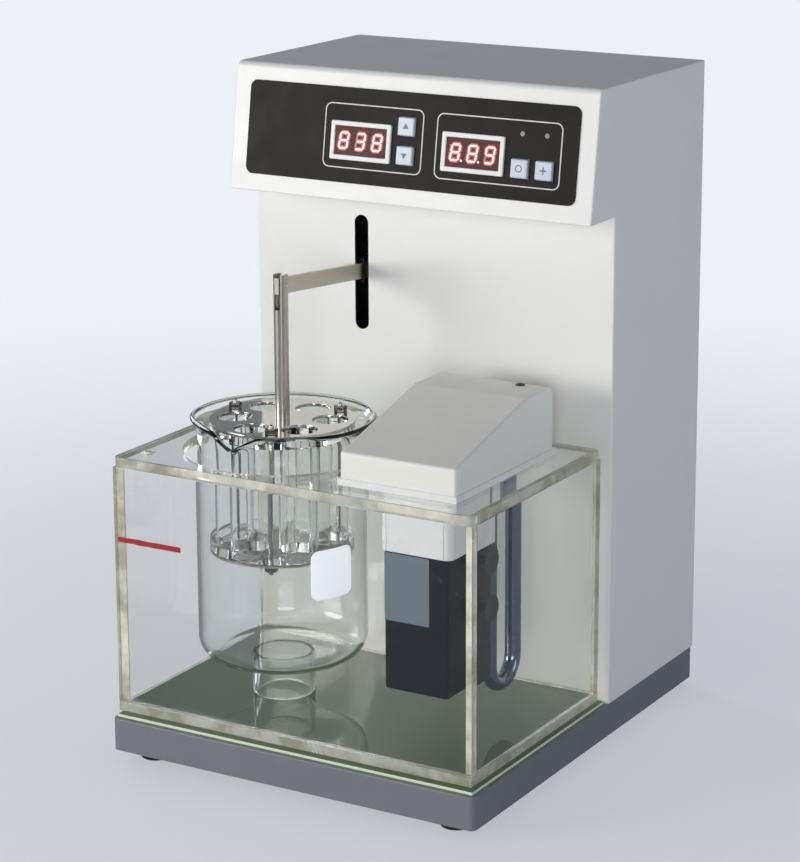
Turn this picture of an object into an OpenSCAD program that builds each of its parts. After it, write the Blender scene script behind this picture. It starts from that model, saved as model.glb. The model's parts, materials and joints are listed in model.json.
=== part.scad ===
// Tablet disintegration tester: a water-bath tank with a lid, a basket rack that a crank drives up and
// down in a beaker, and a drive column with a slanted control panel.
// Frame: X to the right, Y to the back, Z up; the origin is on the bench under the middle of the base.

/* [Base] */
// Width of the base and of the column
base_w = 256; // [250:1:280]
// Depth of the base, front to back
base_d = 296; // [290:1:320]
// Overall height, bench to top
body_h = 416; // [405:1:440]
// Height of the plinth without its feet
plinth_h = 21; // [18:1:28]
// Wall of the plinth
plinth_wall = 3; // [2:0.5:4]
// Corner radius of the plinth, seen from above
plinth_r = 4; // [2:0.5:8]
// Standing height of the rubber feet
foot_h = 6; // [5:0.5:10]
// Radius of a foot
foot_r = 11; // [9:0.5:13]
// Distance of a foot's centre from the side of the base
foot_inset_x = 21; // [18:1:40]
// Distance of a foot's centre from the front or the back of the base
foot_inset_y = 17; // [16:1:40]
// Thickness of the sheet that closes the plinth from below
bottom_t = 1.2; // [1:0.1:2]

/* [Column] */
// Depth of the column, front sheet to back edge
column_d = 124; // [118:1:128]
// Thickness of the column's sheet steel
sheet_t = 1.5; // [1:0.1:2]
// Height of the hood's slanted face
hood_h = 80; // [78:1:84]
// How far the hood's top edge stands in front of the column
hood_top = 20; // [18:1:24]
// How far the hood's lower edge stands in front of the column
hood_low = 32; // [30:1:36]
// Radius of the bends in the column's outline
bend_r = 4; // [2:0.5:5]
// Depth of the recess in front of the back panel
back_recess = 8; // [7:0.5:12]
// Width of the flange that carries the back panel
back_flange = 10; // [9:0.5:14]

/* [Control panel] */
// Distance from the side of the column to the dark panel overlay
fascia_side = 11.5; // [10:0.5:15]
// Height of the dark panel overlay
fascia_h = 59; // [57:1:62]
// Thickness of the panel overlay
fascia_t = 0.8; // [0.5:0.1:1.2]
// Corner radius of the panel overlay
fascia_r = 5; // [2:0.5:8]
// Width of a display frame
bezel_w = 43; // [41:0.5:45]
// Height of a display frame
bezel_h = 24; // [23:0.5:26]
// Width of a display window
window_w = 35; // [32:0.5:36]
// Height of a display window
window_h = 16.5; // [15:0.5:17]
// Side of a square key
key_w = 11.5; // [10:0.5:12]
// How far a key stands out of the panel
key_proud = 2; // [1:0.1:3]
// Travel of a key
key_travel = 0.5; // [0.3:0.05:0.6]
// Thickness of a circuit board
board_t = 1.6; // [1.2:0.1:2]
// Distance from the sheet to the control board
board_gap = 8; // [7:0.5:10]

/* [Lift] */
// Distance of the basket's axis in front of the column
axis_reach = 94; // [92:0.5:96]
// Height of the lift's middle at mid-stroke
lift_z = 284; // [281:1:286]
// Stroke of the basket, twice the crank's throw
stroke = 55; // [52:0.5:57]
// Thickness of the lift arm
arm_t = 3; // [2:0.25:3.5]
// Height of the lift arm
arm_h = 10; // [9:0.5:12]
// How steeply the arm climbs to the hanger, in degrees
arm_climb = 5; // [3:0.5:6]
// Width of the slot in the column
slot_w = 10; // [9:0.5:12]
// Room left in the slot above and below the arm's travel
slot_spare = 4.5; // [3:0.5:6]
// Radius of a guide rod
guide_r = 4; // [3.5:0.25:4.5]
// Distance between the two guide rods
guide_gap = 64; // [60:1:68]
// Distance of the guide rods behind the column's front
guide_y_in = 28; // [27:0.5:30]
// Height of the carriage
carriage_h = 30; // [26:1:32]
// Depth of the carriage
carriage_d = 18; // [17:0.5:20]
// Radius of the follower roller on the crank pin
roller_r = 5; // [4:0.25:6]
// Radius of the crank pin
crank_pin_r = 2; // [1.5:0.25:2.5]
// Thickness of the crank disc
crank_t = 6; // [5:0.5:7]
// Thickness of the chassis plate that carries the drive
chassis_t = 3; // [2:0.5:3]
// Radius of the gearbox on the drive motor
gearbox_r = 30; // [28:1:34]

/* [Basket] */
// Drop from the lift's middle to the top of the basket
basket_drop = 73.5; // [71:0.5:75]
// Radius of the basket's discs
basket_r = 45; // [44:0.5:46]
// Thickness of the steel top disc
disc_t = 2; // [1.5:0.25:2.5]
// Thickness of each plastic rack plate
rack_t = 6; // [5:0.5:7]
// Length of a glass tube
tube_len = 77.5; // [75:0.5:80]
// Outer radius of a glass tube
tube_r = 12; // [11.5:0.25:12.5]
// Wall of a glass tube
tube_wall = 1.25; // [1:0.25:2]
// Radius of the circle that the tubes stand on
tube_ring = 29.5; // [29:0.25:30]
// Radius of the circle that the tie bolts stand on
bolt_ring = 38; // [37:0.5:39]
// Turn of the tube pattern about the basket's axis
rack_turn = 23; // [0:1:59]
// Radius of the hanger tube
hanger_r = 4.5; // [4:0.25:5]
// Depth of the slot in the hanger's top
hanger_slot = 21.5; // [21:0.5:24]
// Radius of the hanger's cross pin
hanger_pin_r = 1.2; // [1:0.1:1.5]

/* [Beaker] */
// Outer radius of the beaker's wall
beaker_r = 52.5; // [51:0.5:54]
// Height of the beaker
beaker_h = 150; // [148:1:153]
// Thickness of the beaker's wall
beaker_wall = 2; // [1.5:0.25:2.5]
// How far the rim flares out beyond the wall
rim_flare = 4.8; // [3:0.2:5]
// How far the spout reaches out beyond the wall
spout_reach = 8; // [6:0.5:8]
// Height of the clear pedestal under the beaker
pedestal_h = 25; // [22:1:27]
// Radius of the pedestal
pedestal_r = 19.5; // [16:0.5:24]
// Wall of the pedestal
pedestal_wall = 3; // [2:0.5:5]

/* [Tank] */
// Distance from the tank's left side to the round hole in the lid
hole_side = 16.5; // [14:0.5:20]
// Depth of the tank
tank_d = 161; // [160:0.5:162]
// Height of the tank with its lid
tank_h = 163; // [160:1:166]
// Thickness of the tank's clear sheet
pane_t = 6; // [4:0.5:7]
// Gap between the tank and the column
tank_gap = 3; // [2:0.5:4]
// Thickness of the green mat under the tank
mat_t = 2; // [1:0.25:3]
// How far the mat stays inside the edge of the plinth
mat_inset = 2.5; // [1:0.5:5]
// Corner radius of the lid
lid_r = 5; // [2:0.5:10]
// Room between the beaker's spout and the hole in the lid
lid_hole_gap = 1; // [0.6:0.1:2]

/* [Heater unit] */
// Width of the heater unit's cover
unit_w = 78; // [76:1:80]
// Depth of the heater unit's cover
unit_d = 120; // [118:1:121]
// Height of the cover at its back
unit_h = 38.5; // [35:0.5:40]
// Height of the cover's front face
unit_front_h = 16; // [12:1:20]
// Length of the cover's flat top
unit_flat = 34; // [30:1:45]
// Wall of the cover
unit_wall = 2.5; // [2:0.25:3]
// Thickness of the flange under the cover
flange_t = 4; // [3.5:0.25:5]
// Distance from the lid's round hole to the cover
unit_gap = 11.5; // [8:0.5:14]
// Distance from the cover to the tank's right side
unit_side = 21; // [18:0.5:24]
// Distance from the tank's front to the cover
unit_y_in = 18.5; // [18:0.5:20]
// Width of the white neck under the flange
neck_w = 48; // [46:0.5:50]
// Depth of the white neck under the flange
neck_d = 48; // [46:0.5:50]
// How far the neck reaches below the flange
neck_h = 36; // [34:1:40]
// Height of the dark pump box
pump_h = 86; // [80:1:88]
// Wall of the pump box
pump_wall = 2; // [1.5:0.25:2.5]
// Radius of the impeller
impeller_r = 13; // [10:0.5:14]
// Radius of the heater tube
heater_r = 5; // [4:0.25:5.5]
// Distance between the heater's two legs
heater_gap = 30.5; // [28:0.5:31]
// How far the heater reaches below the flange
heater_drop = 140; // [130:1:144]
// Radius of a suction cup
cup_r = 8.5; // [7:0.5:10]

/* [Back panel] */
// Width of the mains inlet's opening
inlet_w = 24; // [22:0.5:26]
// Height of the mains inlet's opening
inlet_h = 17; // [16:0.5:19]
// Width of the power switch's rocker
rocker_w = 10; // [9:0.5:12]
// Radius of the rocker about its pivot
rocker_r = 7.7; // [7:0.1:8.5]
// Full swing of the rocker in degrees
rocker_swing = 18; // [12:1:22]
// Width of a vent slot
vent_w = 3; // [2:0.25:4]
// Length of a vent slot
vent_len = 36; // [24:1:44]
// Number of slots in each group of vents
vent_count = 9; // [5:1:11]

/* [Hidden] */
$fn = 48;

// Colours, as the eye sees them
ivory = [0.93, 0.92, 0.88];
plinth_grey = [0.42, 0.43, 0.45];
clear_sheet = [0.80, 0.86, 0.80, 0.35];
clear_glass = [0.85, 0.90, 0.92, 0.30];
dark_plastic = [0.08, 0.10, 0.12];

// Clearances
run_gap = 0.05;      // a running or push fit, on the radius
fit_gap = 0.3;       // between pieces that are dropped into each other
soft_gap = 0.4;      // room at the open pivot of the crank

// Base
plinth_top = foot_h + plinth_h;
front_y = -base_d / 2;
back_y = base_d / 2;
foot_xy = [for (sx = [-1, 1], sy = [-1, 1])
    [sx * (base_w / 2 - foot_inset_x), sy * (base_d / 2 - foot_inset_y)]];
boss_r = 6;
screw_r = 1.5;
screw_head_r = 2.8;
screw_head_h = 2;
foot_screw_seat = 2.5;
cover_z = foot_h + 0.3;
foot_boss_z = cover_z + bottom_t;

// Column
column_y = back_y - column_d;
hood_z = body_h - hood_h;
hood_top_y = column_y - hood_top;
hood_low_y = column_y - hood_low;
fascia_tilt = atan((hood_low - hood_top) / hood_h);
inner_w = base_w - 2 * sheet_t;
panel_y = back_y - back_recess;

// Places that run from left to right: the tank's left side, the lid's hole, the unit, the tank's right side
spout_r = beaker_r + spout_reach;
spout_tip = 4;
lid_hole_r = spout_r + lid_hole_gap;
tank_left = -base_w / 2;
axis_x = tank_left + hole_side + lid_hole_r;
unit_x = axis_x + lid_hole_r + unit_gap;
tank_right = unit_x + unit_w + unit_side;
tank_w = tank_right - tank_left;
tank_x = (tank_left + tank_right) / 2;

// Control panel, in the plane of the hood's face: x along it, v up it from its lower edge
fascia_w = base_w - 2 * fascia_side;
fascia_low = 11;     // from the hood's lower edge to the overlay
fascia_v = fascia_low + fascia_h / 2;
panel_x = fascia_w / 2;
bezel_t = 1.5;
left_display_in = 149.5;    // from the overlay's right edge, as are the next four
right_display_in = 70.5;
left_keys_in = 117.5;
inner_key_in = 38;
outer_key_in = 21.5;
left_display_v = 37.2;
right_display_v = 36.4;
upper_key_v = 49;
lower_key_v = 31.2;
right_keys_v = 30.2;
lamps_v = 51;
bezel_x = [panel_x - left_display_in, panel_x - right_display_in];
bezel_v = [left_display_v, right_display_v];
keys_xv = [
    [panel_x - left_keys_in, upper_key_v], [panel_x - left_keys_in, lower_key_v],
    [panel_x - inner_key_in, right_keys_v], [panel_x - outer_key_in, right_keys_v]];
lamps_xv = [[panel_x - inner_key_in, lamps_v], [panel_x - outer_key_in, lamps_v]];
lamp_r = 1.5;
key_gap = 0.3;
key_flange = 1.2;
key_flange_t = 1.2;
key_stem = 3;
switch_w = 6;
plunger_r = 1.6;
plunger_h = 0.8;
module_w = window_w + 3;
module_h = window_h + 3;
board_y = sheet_t + board_gap;
stem_end = sheet_t + key_gap + key_flange_t + key_stem;
key_spare = 0.15;    // left between stem and plunger when a key is down
switch_t = board_y - stem_end - key_travel - key_spare - plunger_h;
board_x0 = bezel_x[0] - module_w / 2 - 5;
board_x1 = keys_xv[3][0] + 12;
board_v0 = 14;
board_v1 = 64;
standoff_r = 3;
standoffs_xv = [for (x = [board_x0 + 4, board_x1 - 4], v = [board_v0 + 4, board_v1 - 4]) [x, v]];

// Lift
axis_y = column_y - axis_reach;
slot_h = stroke + arm_h + 2 * slot_spare;
guide_y = column_y + guide_y_in;
rod_margin = 12;     // from a guide rod's axis to the end of what it passes through
carriage_w = guide_gap + 2 * rod_margin;
bush_r = guide_r + 2;
bush_flange_r = bush_r + 1.5;
bush_flange_t = 1;
bush_len = carriage_h / 3;
boss_w = 14;
boss_h = arm_h + 6;
boss_len = 14;
carriage_front = guide_y - carriage_d / 2;
carriage_back = guide_y + carriage_d / 2;
boss_front = carriage_front - boss_len;
arm_screws_y = [boss_front + 3.5, boss_front + 10.5];
arm_screw_r = 1.5;
arm_screw_head_r = 2.75;
arm_pivot_y = (arm_screws_y[0] + arm_screws_y[1]) / 2;
arm_front = axis_y - hanger_r;
yoke_t = 3;
yoke_slot_h = 2 * (roller_r + run_gap);
yoke_slot_w = stroke + yoke_slot_h + 2;
yoke_w = yoke_slot_w + 14;
yoke_h = carriage_h - 4;
yoke_back = carriage_back + yoke_t;
roller_t = 5;
roller_y = yoke_back + soft_gap;
crank_y = roller_y + roller_t + 1.6;
crank_r = stroke / 2 + crank_pin_r + 7.5;
hub_r = 9;
hub_len = 5;
shaft_r = 4;
plate_y = crank_y + crank_t + hub_len + 2;
plate_side = 28;
plate_w = guide_gap + 2 * plate_side;
bracket_t = 8;
bracket_off = stroke / 2 + carriage_h / 2 + 12;
bracket_side = 14;
bracket_w = guide_gap + 2 * bracket_side;
bracket_front = guide_y - guide_r - 4;
plate_top = lift_z + bracket_off + bracket_t + 6;
plate_foot = 28;
gearbox_t = 20;
motor_r = gearbox_r - 2;
motor_t = 24;
motor_screw_ring = gearbox_r + 5;
ear_t = 3;
ear_w = 12;

// Transformer
core_w = 57;
core_d = 28;
core_h = 48;
coil_over = 8;

// Basket
basket_top = lift_z - basket_drop;
rack_top = basket_top - disc_t;
tube_bottom = rack_top - tube_len;
mesh_t = 0.6;
mesh_z = tube_bottom - mesh_t;
ring_t = 1.2;
ring_z = mesh_z - ring_t;
disc_hole_r = tube_r - 1;
bolt_r = 1.5;
nut_r = 4.04;
nut_h = 4;
bolt_tip = 2.2;
hanger_top = arm_z(axis_y) + arm_h / 2 + 2;
hanger_bore_r = hanger_r - 1.5;
hook_z = arm_z(axis_y) + 0.5;
stud_r = 3;
stud_len = disc_t + rack_t + 6;
tube_angles = [for (i = [0:5]) rack_turn + 60 * i];
bolt_angles = [for (i = [0:2]) rack_turn + 30 + 120 * i];

// Tank
tank_back_y = column_y - tank_gap;
tank_front_y = tank_back_y - tank_d;
mat_top = plinth_top + mat_t;
tank_floor_z = mat_top + pane_t;
tank_top = mat_top + tank_h;
lid_z = tank_top - pane_t;
port_x = tank_left + 13;
port_y = tank_front_y + 20;
port_r = 2.5;
port_lip = 0.8;

// Beaker
beaker_z = tank_floor_z + pedestal_h;
base_r = 14;
rim_r = 1.2;

// Heater unit
unit_front = tank_front_y + unit_y_in;
unit_back = unit_front + unit_d;
flange_edge = 1;
flange_z = tank_top;
cover_base = flange_z + flange_t;
neck_x = unit_x + unit_w / 3;
neck_front = unit_front + 3.5;
neck_z = flange_z - neck_h;
neck_r = 5;
pump_w = neck_w - 5;
pump_d = neck_d - 4;
pump_x = neck_x + 2;
pump_front = neck_front + 2;
pump_z = neck_z - pump_h;
pump_cx = pump_x + pump_w / 2;
pump_cy = pump_front + pump_d / 2;
motor_block_h = 34;
motor_block_z = neck_z - motor_block_h - 3;
impeller_h = 10;
impeller_z = motor_block_z - 4 - impeller_h;
impeller_shaft_r = 1.5;
nozzle_r = 5;
nozzle_len = 6;
heater_x = unit_x + unit_w - 16;
heater_y = neck_front + neck_d + 2 + heater_r + 3.5;
heater_top = cover_base + 8;
heater_bend_r = heater_gap / 2;
heater_low = flange_z - heater_drop + heater_r + heater_bend_r;
gland_r = 8.5;
gland_h = 5;
probe_x = neck_x + 8;
probe_y = neck_front + neck_d + 16;
probe_r = 2;
probe_drop = 100;
cut_x0 = neck_x - 2;
cut_y0 = neck_front - 1.5;
cut_y1 = unit_back - 18;
cup_x = pump_x + pump_w;
cup_y = pump_front + pump_d - 10;
cup_reach = 5.5;
cup_stem_r = 3;
cup_lip = 0.8;
upper_cup_drop = 9;
cup_pitch = 29.5;
cup_z = [neck_z - upper_cup_drop, neck_z - upper_cup_drop - cup_pitch];
cup_room = 0.8;      // beside the cups in the lid, when the unit is lifted out
cut_x1 = cup_x + cup_reach + cup_room;
lamp_hole_r = 2;

// Back panel
inlet_x = -70;
inlet_z = 60;
switch_x = -25;
socket_x = 25;
socket_r = 8;
inlet_depth = 18;
switch_depth = 14;
switch_h = 2 * rocker_r + 0.8;
vent_pitch = 2.6 * vent_w;
panel_screws_xz = [for (sx = [-1, 1], z = [plinth_top + 8, (plinth_top + body_h) / 2, body_h - 8])
    [sx * (inner_w / 2 - back_flange / 2), z]];

// A rectangle with round corners, centred
module round_rect(w, h, r) {
    square([w - 2 * r, h], center = true);
    square([w, h - 2 * r], center = true);
    for (sx = [-1, 1], sy = [-1, 1])
        translate([sx * (w / 2 - r), sy * (h / 2 - r)])
            circle(r);
}

// An upright slot with round ends, centred
module round_slot(w, h) {
    square([w, h - w], center = true);
    for (s = [-1, 1])
        translate([0, s * (h - w) / 2])
            circle(w / 2);
}

// Height of the lift arm's middle line at y
function arm_z(y) = lift_z + (arm_pivot_y - y) * tan(arm_climb);

// Points of an arc about a centre, from angle a to angle b
function arc(cx, cy, r, a, b, n = 5) =
    [for (i = [0:n]) [cx + r * cos(a + (b - a) * i / n), cy + r * sin(a + (b - a) * i / n)]];

// Extrudes a side view (y, z) along X, centred
module across(w) {
    rotate([90, 0, 90])
        linear_extrude(w, center = true)
            children();
}

// Extrudes a front view (x, z) towards the front, from the plane y to y - depth
module forward(y, depth) {
    translate([0, y, 0])
        rotate([90, 0, 0])
            linear_extrude(depth)
                children();
}

// Places children in the plane of the hood's face: x along it, z up it, y into the hood
module on_fascia() {
    translate([0, hood_low_y, hood_z])
        rotate([-fascia_tilt, 0, 0])
            children();
}

// A screw with a pan head below its seat, pointing up
module screw(len) {
    cylinder(r = screw_r, h = len);
    translate([0, 0, -screw_head_h])
        cylinder(r = screw_head_r, h = screw_head_h);
}

// A ring
module tube(r, bore, h) {
    difference() {
        cylinder(r = r, h = h);
        translate([0, 0, -1])
            cylinder(r = bore, h = h + 2);
    }
}

// A hexagon nut on a bore
module nut(r, bore, h) {
    difference() {
        cylinder(r = r, h = h, $fn = 6);
        translate([0, 0, -1])
            cylinder(r = bore, h = h + 2, $fn = 32);
    }
}

module plinth() {
    rib = 2.5;
    color(plinth_grey) {
        difference() {
            translate([0, 0, foot_h])
                linear_extrude(plinth_h)
                    round_rect(base_w, base_d, plinth_r);
            translate([0, 0, foot_h - 1])
                linear_extrude(plinth_h + 1 - plinth_wall)
                    round_rect(base_w - 2 * plinth_wall, base_d - 2 * plinth_wall, plinth_r / 2);
        }
        // bosses for the foot screws
        for (p = foot_xy)
            translate([p[0], p[1], foot_boss_z])
                tube(boss_r, screw_r + run_gap, plinth_top - plinth_wall - foot_boss_z + 0.5);
        // ribs under the top
        for (s = [-1, 1])
            translate([s * base_w / 6 - rib / 2, -base_d / 2 + plinth_wall - 0.5, foot_boss_z])
                cube([rib, base_d - 2 * plinth_wall + 1, plinth_top - plinth_wall - foot_boss_z + 0.5]);
    }
}

module bottom_cover() {
    color("dimgray")
        difference() {
            translate([0, 0, cover_z])
                linear_extrude(bottom_t)
                    round_rect(base_w - 2 * (plinth_wall + fit_gap), base_d - 2 * (plinth_wall + fit_gap),
                        plinth_r / 2);
            for (p = foot_xy)
                translate([p[0], p[1], cover_z - 1])
                    cylinder(r = screw_r + fit_gap, h = bottom_t + 2);
        }
}

module rubber_feet() {
    color([0.06, 0.06, 0.06])
        for (p = foot_xy)
            translate([p[0], p[1], 0])
                difference() {
                    union() {
                        cylinder(r1 = foot_r - 1.5, r2 = foot_r, h = foot_h - 1.5);
                        translate([0, 0, foot_h - 1.5])
                            cylinder(r = foot_r, h = 1.5 + cover_z - foot_h);
                    }
                    translate([0, 0, -1])
                        cylinder(r = screw_head_r + 0.7, h = foot_screw_seat + 1);
                    cylinder(r = screw_r + fit_gap, h = foot_h + 2);
                }
}

module tank_mat() {
    color([0.45, 0.58, 0.42])
        translate([-base_w / 2 + mat_inset, front_y + mat_inset, plinth_top])
            cube([base_w - 2 * mat_inset, column_y - 2 - front_y - mat_inset, mat_t]);
}

// Outline of the column and its hood in side view, drawn in by a wall
module column_side(inset, open) {
    slant = inset / cos(fascia_tilt);
    r = bend_r - inset;
    low = plinth_top - (open ? 1 : 0);
    back = back_y + (open ? 1 : 0);
    top = body_h - inset;
    function face_y(z) = hood_top_y + (hood_low - hood_top) * (z - body_h) / hood_h + slant;
    front_low = [face_y(hood_z + inset), hood_z + inset];
    polygon(concat(
        [[back, low], [back, top]],
        arc(face_y(top - r) + r / cos(fascia_tilt), top - r, r, 90, 180 - fascia_tilt),
        [front_low],
        [[column_y + inset, hood_z + inset], [column_y + inset, low]]));
}

module column_shell() {
    rim_w = inner_w - 2 * back_flange;
    flange_y = panel_y - sheet_t - sheet_t;
    color(ivory)
        difference() {
            union() {
                difference() {
                    across(base_w)
                        column_side(0, false);
                    across(inner_w)
                        column_side(sheet_t, true);
                }
                // flange that the back panel is screwed to
                forward(panel_y - sheet_t, sheet_t)
                    difference() {
                        translate([0, (plinth_top + body_h) / 2])
                            square([inner_w + 1, body_h - plinth_top - 1], center = true);
                        translate([-rim_w / 2, plinth_top - 1])
                            square([rim_w, body_h - plinth_top - back_flange]);
                    }
            }
            // slot for the lift arm
            forward(column_y + sheet_t + 1, sheet_t + 2)
                translate([axis_x, lift_z])
                    round_slot(slot_w, slot_h);
            // openings in the hood's face
            on_fascia()
                forward(sheet_t + 1, sheet_t + 2) {
                    for (i = [0, 1])
                        translate([bezel_x[i], bezel_v[i]])
                            square([window_w, window_h], center = true);
                    for (p = keys_xv)
                        translate(p)
                            square(key_w + 2 * key_gap, center = true);
                    for (p = lamps_xv)
                        translate(p)
                            circle(lamp_r + 0.1);
                }
            for (p = panel_screws_xz)
                translate([p[0], flange_y, p[1]])
                    rotate([-90, 0, 0])
                        cylinder(r = screw_r + run_gap, h = 3 * sheet_t);
        }
}

module back_panel() {
    color(ivory)
        difference() {
            forward(panel_y, sheet_t)
                translate([0, (plinth_top + body_h - sheet_t) / 2])
                    square([inner_w - 2 * fit_gap, body_h - sheet_t - plinth_top - 2 * fit_gap],
                        center = true);
            forward(panel_y + 1, sheet_t + 2) {
                for (p = panel_screws_xz)
                    translate(p)
                        circle(screw_r + run_gap);
                translate([inlet_x, inlet_z])
                    square([inlet_w + 4, inlet_h + 4], center = true);
                translate([switch_x, inlet_z])
                    square([rocker_w + 4, switch_h + 2], center = true);
                translate([socket_x, inlet_z])
                    circle(socket_r + run_gap);
                for (g = [-1, 1], i = [0:vent_count - 1])
                    translate([g * base_w / 4 + (i - (vent_count - 1) / 2) * vent_pitch, body_h * 0.72])
                        round_slot(vent_w, vent_len);
            }
        }
}

module case_screws() {
    color("silver") {
        for (p = panel_screws_xz)
            translate([p[0], panel_y, p[1]])
                rotate([90, 0, 0])
                    screw(8);
        for (p = foot_xy)
            translate([p[0], p[1], foot_screw_seat])
                screw(foot_h + 10);
    }
}

module control_fascia() {
    color([0.20, 0.19, 0.18])
        on_fascia()
            forward(0, fascia_t)
                difference() {
                    translate([0, fascia_v])
                        round_rect(fascia_w, fascia_h, fascia_r);
                    for (i = [0, 1])
                        translate([bezel_x[i], bezel_v[i]])
                            square([window_w, window_h], center = true);
                    for (p = keys_xv)
                        translate(p)
                            square(key_w + 2 * key_gap, center = true);
                    for (p = lamps_xv)
                        translate(p)
                            circle(lamp_r + 0.1);
                }
}

module display_bezels() {
    color("white")
        on_fascia()
            for (i = [0, 1])
                forward(-fascia_t, bezel_t)
                    translate([bezel_x[i], bezel_v[i]])
                        difference() {
                            round_rect(bezel_w, bezel_h, 1);
                            square([window_w, window_h], center = true);
                        }
}

module display_windows() {
    color([0.35, 0.05, 0.08])
        on_fascia()
            for (i = [0, 1])
                forward(sheet_t, sheet_t + fascia_t + bezel_t - 0.5)
                    translate([bezel_x[i], bezel_v[i]])
                        square([window_w - 0.2, window_h - 0.2], center = true);
}

module display_modules() {
    color([0.15, 0.15, 0.16])
        on_fascia()
            for (i = [0, 1])
                forward(board_y, board_gap)
                    translate([bezel_x[i], bezel_v[i]])
                        square([module_w, module_h], center = true);
}

module control_board() {
    color([0.05, 0.35, 0.15])
        on_fascia()
            forward(board_y + board_t, board_t)
                difference() {
                    translate([board_x0, board_v0])
                        square([board_x1 - board_x0, board_v1 - board_v0]);
                    for (p = standoffs_xv)
                        translate(p)
                            circle(screw_r + 0.1);
                }
}

module board_standoffs() {
    color("gold")
        on_fascia()
            for (p = standoffs_xv)
                translate([p[0], 0, p[1]])
                    rotate([-90, 0, 0]) {
                        translate([0, 0, sheet_t])
                            cylinder(r = standoff_r, h = board_gap, $fn = 6);
                        translate([0, 0, board_y])
                            cylinder(r = screw_r, h = board_t);
                        translate([0, 0, board_y + board_t])
                            cylinder(r = screw_head_r, h = screw_head_h);
                    }
}

module key_switches() {
    color("black")
        on_fascia()
            for (p = keys_xv) {
                forward(board_y, switch_t)
                    translate(p)
                        square(switch_w, center = true);
                forward(board_y - switch_t, plunger_h)
                    translate(p)
                        circle(plunger_r);
            }
}

module indicator_lamps() {
    color("crimson")
        on_fascia()
            for (p = lamps_xv)
                translate([p[0], -fascia_t, p[1]])
                    rotate([-90, 0, 0])
                        cylinder(r = lamp_r, h = board_y + fascia_t, $fn = 32);
}

module panel_key(i) {
    color([0.92, 0.94, 0.97])
        on_fascia()
            translate([keys_xv[i][0], 0, keys_xv[i][1]]) {
                forward(sheet_t + key_gap, sheet_t + key_gap + fascia_t + key_proud)
                    round_rect(key_w, key_w, 1);
                forward(sheet_t + key_gap + key_flange_t, key_flange_t)
                    square(key_w + 2 * key_gap + 2 * key_flange, center = true);
                forward(stem_end, key_stem)
                    circle(plunger_r + 0.4);
            }
}

module left_key_upper() {
    panel_key(0);
}

module left_key_lower() {
    panel_key(1);
}

module right_key_inner() {
    panel_key(2);
}

module right_key_outer() {
    panel_key(3);
}

// Drive, on a steel plate that stands on the plinth behind the column's front

module chassis_plate() {
    color("lightsteelblue")
        difference() {
            union() {
                forward(plate_y + chassis_t, chassis_t)
                    translate([axis_x - plate_w / 2, plinth_top])
                        square([plate_w, plate_top - plinth_top]);
                translate([axis_x - plate_w / 2, plate_y, plinth_top])
                    cube([plate_w, plate_foot, chassis_t]);
            }
            translate([axis_x, plate_y - 1, lift_z])
                rotate([-90, 0, 0])
                    cylinder(r = hub_r + 1, h = chassis_t + 2);
            translate([axis_x, plate_y - 1, lift_z])
                rotate([-90, 0, 0])
                    for (a = [45:90:315])
                        rotate(a)
                            translate([motor_screw_ring, 0, 0])
                                cylinder(r = screw_r + run_gap, h = chassis_t + 2);
        }
}

module guide_brackets() {
    color("lightgray")
        for (s = [-1, 1])
            translate([0, 0, lift_z + s * (bracket_off + bracket_t / 2) - bracket_t / 2])
                difference() {
                    translate([axis_x - bracket_w / 2, bracket_front, 0])
                        cube([bracket_w, plate_y - bracket_front, bracket_t]);
                    for (side = [-1, 1])
                        translate([axis_x + side * guide_gap / 2, guide_y, -1])
                            cylinder(r = guide_r + run_gap, h = bracket_t + 2);
                    // open middle
                    translate([axis_x - guide_gap / 2 + rod_margin, bracket_front - 1, -1])
                        cube([
                            guide_gap - 2 * rod_margin, plate_y - bracket_front - bracket_t,
                            bracket_t + 2]);
                }
}

module guide_rods() {
    color("silver")
        for (side = [-1, 1])
            translate([axis_x + side * guide_gap / 2, guide_y, lift_z - bracket_off - bracket_t])
                cylinder(r = guide_r, h = 2 * (bracket_off + bracket_t));
}

module gear_motor() {
    color([0.55, 0.56, 0.58])
        translate([axis_x, plate_y + chassis_t, lift_z])
            rotate([-90, 0, 0]) {
                difference() {
                    union() {
                        cylinder(r = gearbox_r, h = gearbox_t);
                        // ears
                        for (a = [45:90:315])
                            rotate(a)
                                translate([0, -ear_w / 2, 0])
                                    cube([motor_screw_ring + 5, ear_w, ear_t]);
                    }
                    translate([0, 0, -1])
                        cylinder(r = shaft_r + run_gap, h = gearbox_t - 4);
                }
                translate([0, 0, gearbox_t])
                    cylinder(r = motor_r, h = motor_t);
                for (a = [45:90:315])
                    rotate(a)
                        translate([motor_screw_ring, 0, -chassis_t])
                            cylinder(r = screw_r, h = chassis_t + 1);
                for (a = [45:90:315])
                    rotate(a)
                        translate([motor_screw_ring, 0, -chassis_t - screw_head_h])
                            cylinder(r = screw_head_r, h = screw_head_h);
            }
}

module transformer() {
    color([0.35, 0.33, 0.32])
        translate([base_w / 4, column_y + column_d * 0.56, plinth_top]) {
            translate([-core_w / 2, -core_d / 2, 0])
                cube([core_w, core_d, core_h]);
            // windings, inside the frame of the core
            translate([-core_w / 4, -core_d / 2 - coil_over, core_w / 6])
                cube([core_w / 2, core_d + 2 * coil_over, core_h - core_w / 3]);
        }
}

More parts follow.
